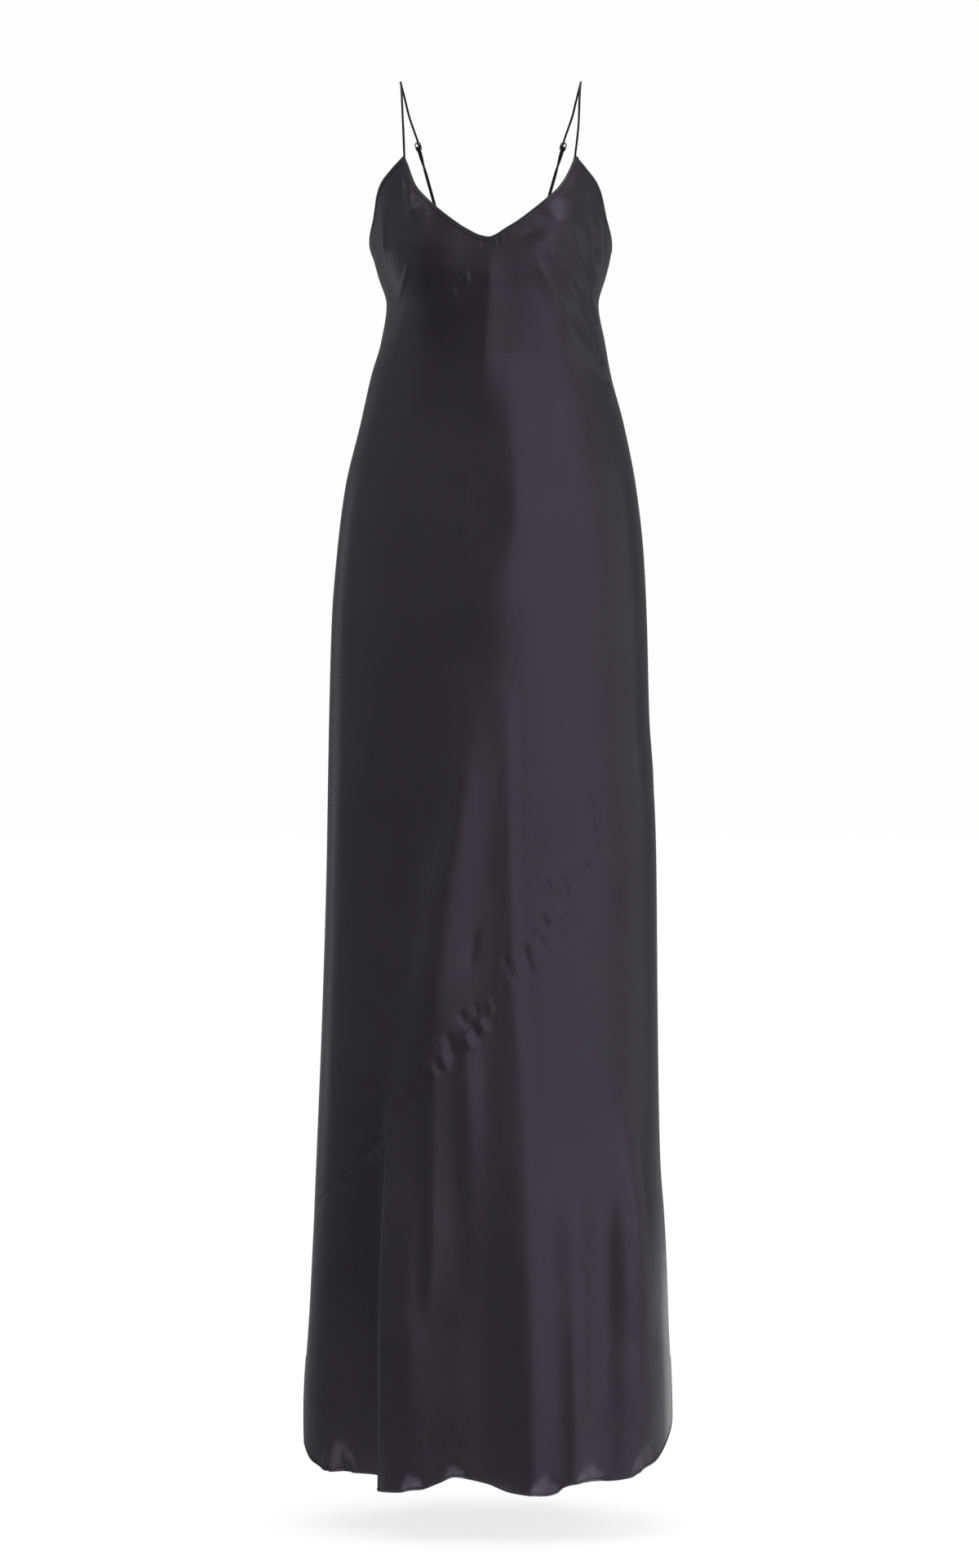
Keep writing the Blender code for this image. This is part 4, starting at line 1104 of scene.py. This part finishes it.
# inward is 1 where the cloth is on the left of the way, and -1 where it is on the right
Line = namedtuple("Line", "side angle z inward")


def evenly(side, angle, z, inward, spacing):
    """The line with its points at an even spacing."""
    step = np.linalg.norm(np.diff(surface(side, angle, z), axis=0), axis=1)
    gone = np.concatenate(([0.0], np.cumsum(step)))
    at = np.linspace(0, gone[-1], max(4, int(gone[-1] / spacing)) + 1)
    return Line(side, np.interp(at, gone, angle), np.interp(at, gone, z), inward)


def beside(line, away, lift):
    """Places beside the line: away into the cloth and lift above its outer face."""
    per_radian = np.linalg.norm(surface(line.side, line.angle + STEP, line.z)
                                - surface(line.side, line.angle - STEP, line.z), axis=1) / (2 * STEP)
    along, up = np.gradient(line.angle) * per_radian, np.gradient(line.z)
    length = np.hypot(along, up) + 1e-12
    return cloth(line.side, line.angle - line.inward * up / length * away / per_radian,
                 line.z + line.inward * along / length * away, lift)


def top_lines(side, edge, corner_angles):
    """The stretches of a top edge between its corners."""
    ends = [-pi / 2, *corner_angles, pi / 2]
    lines = []
    for start, stop in zip(ends, ends[1:]):
        angle = np.linspace(start, stop, 400)
        lines.append(evenly(side, angle, edge(angle), -1, STRIP_STEP))
    return lines


def hem_line(side, edge):
    """Down the left slit, round the hem and up the right slit."""
    angle = np.linspace(-pi / 2, pi / 2, 900)
    z = edge(angle)
    slit = np.linspace(0, 1, 60)[:-1]
    left = SLIT_TOP + (z[0] - SLIT_TOP) * slit
    right = (SLIT_TOP + (z[-1] - SLIT_TOP) * slit)[::-1]
    heights = np.concatenate((left, z, right))
    turned = np.concatenate((-side_limit(left), angle / (pi / 2) * side_limit(z), side_limit(right)))
    return evenly(side, turned, heights, 1, STRIP_STEP)


front_tops = top_lines(FRONT, front_top, (left_apex, right_apex))
back_tops = top_lines(BACK, back_top, (-hold_angle, hold_angle))
hems = {FRONT: hem_line(FRONT, front_hem), BACK: hem_line(BACK, back_hem)}
print("stretches of the top edges:", len(front_tops), "and", len(back_tops))

# %% [markdown]
# The top edges are bound with a narrow strip of the same satin, folded over the edge and stitched. The
# hem and the slits have a baby hem, rolled twice. A bevelled curve could follow the edge too, but its
# weave would have no scale. So both are one kind of piece: a grid that follows a line on the cloth,
# with a short profile of steps into the cloth and lifts above or below its face.

# %% Bindings and hems
def strip(bm, line, profile):
    """A strip along the line, its outer face turned outwards; gives back its length."""
    table = np.stack([beside(line, away, lift) for away, lift in profile])
    faces, (length, _) = lay_grid(bm, table)
    bm.normal_update()
    middle = Vector(table[2, table.shape[1] // 2])
    outer = min(faces, key=lambda face: (face.calc_center_median() - middle).length)
    if outer.normal.dot(Vector((middle.x, middle.y, 0))) < 0:
        bmesh.ops.reverse_faces(bm, faces=faces)
    return length


# Each step: how far into the cloth from its edge, and the lift above its outer face
BINDING = ((0.0051, -0.0001), (0.0050, 0.0003), (0.0044, 0.0004), (0.0025, 0.00045), (0.0006, 0.00045),
           (-0.0001, 0.0002), (-0.0004, -0.0003), (-0.0001, -0.0008), (0.0006, -0.00095),
           (0.0025, -0.00095), (0.0044, -0.0009), (0.0050, -0.0008), (0.0051, -0.0004))
HEM_ROLL = ((0.0028, -0.0001), (0.0026, 0.0003), (0.0016, 0.0005), (0.0005, 0.00045), (-0.0003, 0.0001),
            (-0.0004, -0.0004), (-0.0002, -0.0009), (0.0006, -0.0013), (0.0016, -0.0013),
            (0.0026, -0.0010), (0.0028, -0.0004))

for name, lines, profile in (
        ("edge_binding_front", front_tops, BINDING), ("edge_binding_back", back_tops, BINDING),
        ("hem_front", [hems[FRONT]], HEM_ROLL), ("hem_back", [hems[BACK]], HEM_ROLL)):
    bm = bmesh.new()
    lengths = [strip(bm, line, profile) for line in lines]
    put(name, bm, satin)
    print(name, "lengths, metres:", [round(l, 3) for l in lengths])

# %% [markdown]
# Inside, the turnings of the seams lie flat against the cloth and join the panels: they are what the
# diagonal seam and the side seams are made of. They could be left out, as they show only from within,
# but then the panels would end in nothing. Each is a narrow flat strip on the inner face.

# %% Turnings of the seams
TURNING = ((0.0000, -0.00045), (0.0060, -0.00045), (0.0064, -0.0006), (0.0060, -0.0008),
           (0.0030, -0.00085), (0.0000, -0.0008))
SIDE_STEP = 0.004          # the side seams are nearly straight, so it may be wider than a strip's
bm = bmesh.new()
angle = np.linspace(-pi / 2, pi / 2, 600)
for inward in (-1, 1):
    strip(bm, evenly(FRONT, angle, diagonal(angle), inward, STRIP_STEP), TURNING)
for side, edge in ((FRONT, front_top), (BACK, back_top)):
    for hand in (-1, 1):
        z = np.linspace(float(edge(np.array(hand * pi / 2))) - 0.001, SLIT_TOP, 500)
        strip(bm, evenly(side, np.full_like(z, hand * pi / 2), z, -hand, SIDE_STEP), TURNING)
turnings = put("seam_turnings", bm, satin)
print("turnings' faces:", len(turnings.data.polygons))

# %% [markdown]
# The stitches are real little threads. Painted dashes would do from afar, but a thread stands up from
# the cloth and catches a point of light. Each is a small rounded grain, two millimetres long, pressed
# halfway into the cloth beside the edge of the binding or the hem.

# %% Stitches
STITCH_PITCH = 0.0026
PLACES_A_STITCH = 4        # a stitch takes three of them and leaves one free
THREAD = 0.00016
ON_CLOTH = 0.00045         # the outer face of a binding or a hem


def make_thread():
    material, nodes, links = new_material("sewing thread")
    shader = nodes["Principled BSDF"]
    shader.inputs["Base Color"].default_value = (0.014, 0.012, 0.016, 1)
    shader.inputs["Roughness"].default_value = 0.42
    everywhere = nodes.new("ShaderNodeTexCoord").outputs["Object"]
    twist = noise(nodes, links, everywhere, Scale=2500.0, Detail=1.0)
    links.new(bump(nodes, links, twist, 0.4, 0.00005), shader.inputs["Normal"])
    return material


def grain(bm, start, stop, outward):
    """One stitch from start to stop, rounded and pressed into the cloth."""
    start, stop, outward = Vector(start), Vector(stop), Vector(outward)
    forward = (stop - start).normalized()
    across = outward.cross(forward).normalized()
    up = forward.cross(across)
    turn = Matrix((forward, across, up)).transposed().to_4x4()
    size = Matrix.Diagonal(((stop - start).length / 2, THREAD, THREAD, 1))
    bmesh.ops.create_icosphere(bm, subdivisions=1, radius=1.0,
                               matrix=Matrix.Translation((start + stop) / 2) @ turn @ size)


def stitch_row(bm, line, away):
    """Stitches along the line, away from it into the cloth; gives back how many."""
    fine = evenly(line.side, line.angle, line.z, line.inward, STITCH_PITCH / PLACES_A_STITCH)
    places = beside(fine, away, ON_CLOTH)
    normals = plain_normal(fine.side, fine.angle, fine.z)
    starts = range(2, len(places) - 5, PLACES_A_STITCH)
    for i in starts:
        grain(bm, places[i], places[i + 3], normals[i])
    return len(starts)


thread = make_thread()
for name, lines, away in (
        ("edge_stitches_front", front_tops, 0.0042), ("edge_stitches_back", back_tops, 0.0042),
        ("hem_stitches_front", [hems[FRONT]], 0.0021), ("hem_stitches_back", [hems[BACK]], 0.0021)):
    bm = bmesh.new()
    count = sum(stitch_row(bm, line, away) for line in lines)
    put(name, bm, thread)
    print(name, count)

# %% [markdown]
# Each strap is held at two places: at the point of the front, and behind by a ring on the edge of the
# back, with its slider a little above. The shoulders that carry it aren't there, so its way over them
# is a short row of places, mirrored for the left. Everything at the back is built in the direction in
# which the strap pulls, from the ring up to the slider.

# %% Where the straps are held
STRAP_RADIUS = 0.00118
SHOULDER_ROUTE = (
    Vector((0.0948, -0.0700, -0.0600)),
    Vector((0.0965, -0.0490, -0.0270)),
    Vector((0.0980, -0.0230, -0.0070)),
    Vector((0.0988, 0.0020, -0.0012)),
    Vector((0.0972, 0.0260, -0.0056)),
    Vector((0.0942, 0.0470, -0.0158)),
    Vector((0.0903, 0.0620, -0.0300)),
)
SLIDER_AT = Vector((0.0808, 0.0715, -0.0605))
WIRE_RADIUS = 0.0004
SLIDER_CORNER = 0.0014
SLIDER_PITCH = 0.0040
SLIDER_HALF_WIDTH = 0.0030
MAIN_SIDE, RETURN_SIDE = 0.0009, -0.0011       # where the two runs pass through the slider
WEAVE, WEAVE_STEPS = 0.00165, 12               # how far the strap weaves round its bars
RING_WIRE, RING_RADIUS = 0.0006, 0.0034
STRAP_TURN = RING_WIRE + STRAP_RADIUS + 0.00025        # of the strap round the ring
# The share of the way to the ring in which the two runs come to lie one behind the other
TURN_SHARE = 0.25
TAB_SEAT = 0.0010          # from the back's edge up to the ring's lower wire
CAD_CLOTH = 0.0014         # the wall of the solids, which the hardware is placed from


class Holding:
    """Where one strap is held on the back edge, and the directions its hardware is built in."""

    def __init__(self, hand):
        edge = HOLD_RIGHT
        angle = np.array(angle_at(edge) * hand)
        self.hand = hand
        self.normal = Vector(plain_normal(BACK, angle, np.array(edge.z)))
        self.edge = Vector(surface(BACK, angle, np.array(edge.z))) - self.normal * CAD_CLOTH / 2
        self.slider = Vector((SLIDER_AT.x * hand, SLIDER_AT.y, SLIDER_AT.z))
        pull = self.slider - self.edge
        self.up = (pull - self.normal * pull.dot(self.normal)).normalized()
        self.lower_wire = self.edge + self.up * TAB_SEAT
        self.down = (self.lower_wire - self.slider).normalized()
        self.ring = self.lower_wire - self.down * RING_RADIUS
        self.upper_wire = self.ring - self.down * RING_RADIUS
        self.inward = self.up.cross(self.normal).normalized()
        if self.inward.x * hand > 0:
            self.inward.negate()
        self.behind = self.down.cross(self.inward)
        if self.behind.y < 0:
            self.behind.negate()

    def place(self, along, aside, behind):
        """A point measured from the slider's middle bar: down the strap, inward and behind."""
        return self.slider + self.down * along + self.inward * aside + self.behind * behind


holds = {hand: Holding(hand) for hand in (-1, 1)}
print("from ring to slider, mm:", [round(1000 * (h.slider - h.ring).length, 1) for h in holds.values()])

# %% [markdown]
# A strap starts under the binding at the front point, goes over the shoulder, down through the slider,
# round the ring and back up to the slider's middle bar, where it is sewn. That doubled end is what lets
# the wearer change its length. In the slider it weaves over and under the bars.

# %% Way of a strap
PATH_STEP, RING_STEPS = 0.0025, 14


def smooth_path(points, step):
    """Points every step or so along a curve through the given points (Catmull-Rom)."""
    padded = [points[0] * 2 - points[1], *points, points[-1] * 2 - points[-2]]
    path = [points[0]]
    for a, b, c, d in zip(padded, padded[1:], padded[2:], padded[3:]):
        pieces = max(1, round((c - b).length / step))
        for k in range(1, pieces + 1):
            t = k / pieces
            path.append(0.5 * (2 * b + (c - a) * t + (2 * a - 5 * b + 4 * c - d) * t * t
                               + (3 * b - a - 3 * c + d) * t ** 3))
    return path


def strap_path(hold, apex):
    """Over the shoulder, through the slider, round the ring and back up to the middle bar."""
    angle = np.array(angle_at(apex))
    under = Vector(cloth(FRONT, angle, np.array(apex.z - 0.0060), -0.0009))
    start = Vector(cloth(FRONT, angle, np.array(apex.z), -0.0006)) + Vector((0, 0, 0.0004))
    mirror = Vector((hold.hand, 1, 1))
    over = [under, start] + [p * mirror for p in SHOULDER_ROUTE]
    entry = -2 * SLIDER_PITCH
    over.append(hold.place(entry, MAIN_SIDE, 0))
    path = smooth_path(over, PATH_STEP)
    for k in range(1, 4 * WEAVE_STEPS):
        along = entry + SLIDER_PITCH * k / WEAVE_STEPS
        calm = float(ease(2 - abs(along) / SLIDER_PITCH))
        path.append(hold.place(along, MAIN_SIDE, -WEAVE * calm * cos(pi * along / SLIDER_PITCH)))
    reach = (hold.upper_wire - hold.slider).length
    stretch = reach - 2 * SLIDER_PITCH
    steps = round(stretch / PATH_STEP)

    def run(shares, aside, behind):
        for t in shares:
            turned = float(ease(t / TURN_SHARE))
            path.append(hold.place(
                2 * SLIDER_PITCH + stretch * t, aside * (1 - turned), behind * turned))

    run([k / steps for k in range(steps + 1)], MAIN_SIDE, STRAP_TURN)
    for k in range(1, RING_STEPS):
        turn = pi * k / RING_STEPS
        path.append(hold.place(reach + STRAP_TURN * sin(turn), 0, STRAP_TURN * cos(turn)))
    run([1 - k / steps for k in range(steps + 1)], RETURN_SIDE, -STRAP_TURN)
    last = WIRE_RADIUS + 0.0003
    for k in range(1, 2 * WEAVE_STEPS + 1):
        along = 2 * SLIDER_PITCH - (2 * SLIDER_PITCH - last) * k / (2 * WEAVE_STEPS)
        calm = float(ease(2 - along / SLIDER_PITCH)) * float(ease(along / SLIDER_PITCH * 1.3))
        path.append(hold.place(along, RETURN_SIDE, WEAVE * calm))
    return path


routes = {-1: strap_path(holds[-1], APEX_LEFT), 1: strap_path(holds[1], APEX_RIGHT)}
print("places on the way of a strap:", [len(route) for route in routes.values()])

# %% [markdown]
# Each strap is a rouleau, a thin tube of bias satin turned inside out, with its seam as a low ridge
# that winds slowly round it. A bevelled curve would make a smooth tube, but no ridge. So a tube is a
# grid again, rolled round its way, with an oval section where it is flattened. The same helper bends
# the wire of the sliders and the loops of the tabs later.

# %% Straps
RIDGE_SPREAD = 0.06        # of the seam's ridge round the tube


def tube(path, wide, thick, sides, closed=False, across=None, ridge=0.0, turns=0.0):
    """A tube along a path with an oval section; a ridge winds round it turns times."""
    places = np.array([p[:] for p in path])
    if closed:
        ways = np.roll(places, -1, axis=0) - np.roll(places, 1, axis=0)
    else:
        ways = np.gradient(places, axis=0)
    ways = unit(ways)
    side_way = Vector(across if across is not None else Vector(ways[0]).orthogonal())
    around = np.linspace(0, 2 * pi, sides + 1)
    table = []
    for i, (place, way) in enumerate(zip(places, ways)):
        way = Vector(way)
        side_way = (side_way - way * side_way.dot(way)).normalized()
        up = way.cross(side_way)
        seam = 2 * pi * turns * i / len(places)
        swell = 1 + ridge * np.exp(-((np.cos(around - seam) - 1) / RIDGE_SPREAD) ** 2)
        ring = (np.outer(np.cos(around) * wide * swell, side_way)
                + np.outer(np.sin(around) * thick * swell, up))
        table.append(place + ring)
    table = np.array(table)
    table[:, -1] = table[:, 0]
    if closed:
        table = np.concatenate((table, table[:1]))
    bm = bmesh.new()
    lay_grid(bm, table, closed=True)
    if not closed:
        bmesh.ops.holes_fill(bm, edges=[e for e in bm.edges if e.is_boundary], sides=sides)
    bmesh.ops.recalc_face_normals(bm, faces=bm.faces)
    return bm


NAMED = {-1: "left", 1: "right"}
for hand, route in routes.items():
    name = "strap_" + NAMED[hand]
    rouleau = tube(route, STRAP_RADIUS, STRAP_RADIUS, 14, ridge=0.10, turns=3.0 * hand)
    strap = put(name + "_rouleau", rouleau, rouleau_satin)
    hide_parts(name)
    length = sum((b - a).length for a, b in zip(route, route[1:]))
    print(strap.name, "length, metres:", round(length, 3), "faces:", len(strap.data.polygons))

# %% [markdown]
# The sliders and rings are cast or bent in metal, polished and coated dark. A black paint alone would
# look like plastic; a dark metal under a thin glossy coat keeps small sharp highlights. Handling has
# worn it a little unevenly, which a fine noise in the roughness shows.

# %% Dark coated metal
def make_dark_metal():
    material, nodes, links = new_material("dark coated metal")
    shader = nodes["Principled BSDF"]
    shader.inputs["Metallic"].default_value = 1.0
    shader.inputs["Base Color"].default_value = (0.040, 0.038, 0.042, 1)
    shader.inputs["Coat Weight"].default_value = 0.20
    shader.inputs["Coat Roughness"].default_value = 0.08
    everywhere = nodes.new("ShaderNodeTexCoord").outputs["Object"]
    wear = noise(nodes, links, everywhere, Scale=900.0, Detail=2.0)
    links.new(spread(nodes, links, wear, 0.18, 0.34), shader.inputs["Roughness"])
    return material


metal = make_dark_metal()
print("material:", metal.name)

# %% [markdown]
# The slider is a figure eight of coated wire: a rounded frame with a bar across its middle, that lets
# the strap be made longer or shorter. The ring is a plain wire ring. The frame is a tube round its
# outline, the bar a thin cylinder, and the ring a tube round a circle. Spinning a small circle would
# make it too, but a spin orders its faces anew in each run, and a tube always comes out the same.

# %% Sliders and rings
# The slider's frame is wider and deeper than plain wire, and its bar is finer
FRAME_WIRE, FRAME_DEPTH, BAR_WIRE = WIRE_RADIUS * 1.15, WIRE_RADIUS * 1.7, WIRE_RADIUS * 0.9
RING_PLACES = 48


def basis(x_axis, y_axis, z_axis, place):
    """The move that sets a shape at place with its axes along the given directions."""
    turn = Matrix((x_axis, y_axis, z_axis)).transposed().to_4x4()
    return Matrix.Translation(place) @ turn


for hand, hold in holds.items():
    outline = []
    for quarter, (side, end) in enumerate(((1, 1), (-1, 1), (-1, -1), (1, -1))):
        for turn in np.linspace(pi / 2 * quarter, pi / 2 * (quarter + 1), 9):
            outline.append(hold.place(
                end * (SLIDER_PITCH - SLIDER_CORNER) + SLIDER_CORNER * sin(turn),
                side * (SLIDER_HALF_WIDTH - SLIDER_CORNER) + SLIDER_CORNER * cos(turn), 0))
    bm = tube(outline, FRAME_WIRE, FRAME_DEPTH, 12, closed=True, across=hold.behind)
    bmesh.ops.create_cone(bm, cap_ends=True, segments=12, radius1=BAR_WIRE, radius2=BAR_WIRE,
                          depth=2 * SLIDER_HALF_WIDTH,
                          matrix=basis(hold.behind, hold.down, hold.inward, hold.slider))
    slider = put("slider_%s_frame" % NAMED[hand], bm, metal)
    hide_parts("slider_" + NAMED[hand])

    circle = [hold.ring + hold.down * RING_RADIUS * cos(turn) + hold.inward * RING_RADIUS * sin(turn)
              for turn in np.linspace(0, 2 * pi, RING_PLACES + 1)[:-1]]
    bm = tube(circle, RING_WIRE, RING_WIRE, 14, closed=True, across=hold.behind)
    ring = put("ring_%s_wire" % NAMED[hand], bm, metal)
    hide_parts("ring_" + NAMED[hand])
    print(slider.name, len(slider.data.polygons), ring.name, len(ring.data.polygons))

# %% [markdown]
# A short loop of the same rouleau holds each ring to the back edge. It is flattened, goes over the
# ring's lower wire and is sewn down on both faces of the back with a few stitches across each leg. The
# strap's end is tacked in the same way just below the slider. A join without them would look glued.

# %% Tabs and tacks
TAB_HALF_WIDTH, TAB_HALF_THICK = 0.0012, 0.0004
TAB_LEG = 0.0070
TACK_STITCHES, TACK_PITCH = 4, 0.0004
# The first tack: how far down a tab from the ring, and how far up the strap's end from its weaving
TAB_TACK, END_TACK = 0.0052, 0.0028
END_TACK_REACH = 0.0006    # half its length
TAB_CLEAR = 0.00042        # from the solid's cloth to the tab
tab_middle = CAD_CLOTH / 2 + TAB_CLEAR + TAB_HALF_THICK
leg = (0.2, 0.4, 0.6, 0.8, 1)
bends = np.linspace(0, pi, 13)
for hand, hold in holds.items():
    out, up = hold.normal * tab_middle, hold.up
    path = [hold.lower_wire + out - up * TAB_LEG * t for t in reversed(leg)]
    path += [hold.lower_wire + out * cos(a) + up * tab_middle * sin(a) for a in bends]
    path += [hold.lower_wire - out - up * TAB_LEG * t for t in leg]
    loop = tube(path, TAB_HALF_WIDTH, TAB_HALF_THICK, 16, across=hold.inward)
    tab = put("tab_%s_loop" % NAMED[hand], loop, rouleau_satin)
    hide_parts("tab_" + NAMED[hand])

bm = bmesh.new()
for hold in holds.values():
    for side in (1, -1):
        face = hold.normal * side * (tab_middle + TAB_HALF_THICK)
        for k in range(TACK_STITCHES):
            middle = hold.lower_wire + face - hold.up * (TAB_TACK + TACK_PITCH * k)
            reach = hold.inward * TAB_HALF_WIDTH * 0.8
            grain(bm, middle - reach, middle + reach, hold.normal * side)
    for k in range(TACK_STITCHES):
        middle = hold.place(2 * SLIDER_PITCH - END_TACK - TACK_PITCH * k, RETURN_SIDE, -0.0001)
        middle += hold.behind * (WEAVE + STRAP_RADIUS)
        reach = hold.inward * END_TACK_REACH
        grain(bm, middle - reach, middle + reach, hold.behind)
tacks = put("tacks", bm, thread)
print("tacks' faces:", len(tacks.data.polygons))

# %% [markdown]
# The three panels are sheets of cloth, which a user may want to drape again. Each printed above the
# size of the flat cloth that it is cut from, before its hems and seams are sewn. Here their names are
# listed.

# %% Sheets
print("sheets:", front_upper.name, front_lower.name, back.name)
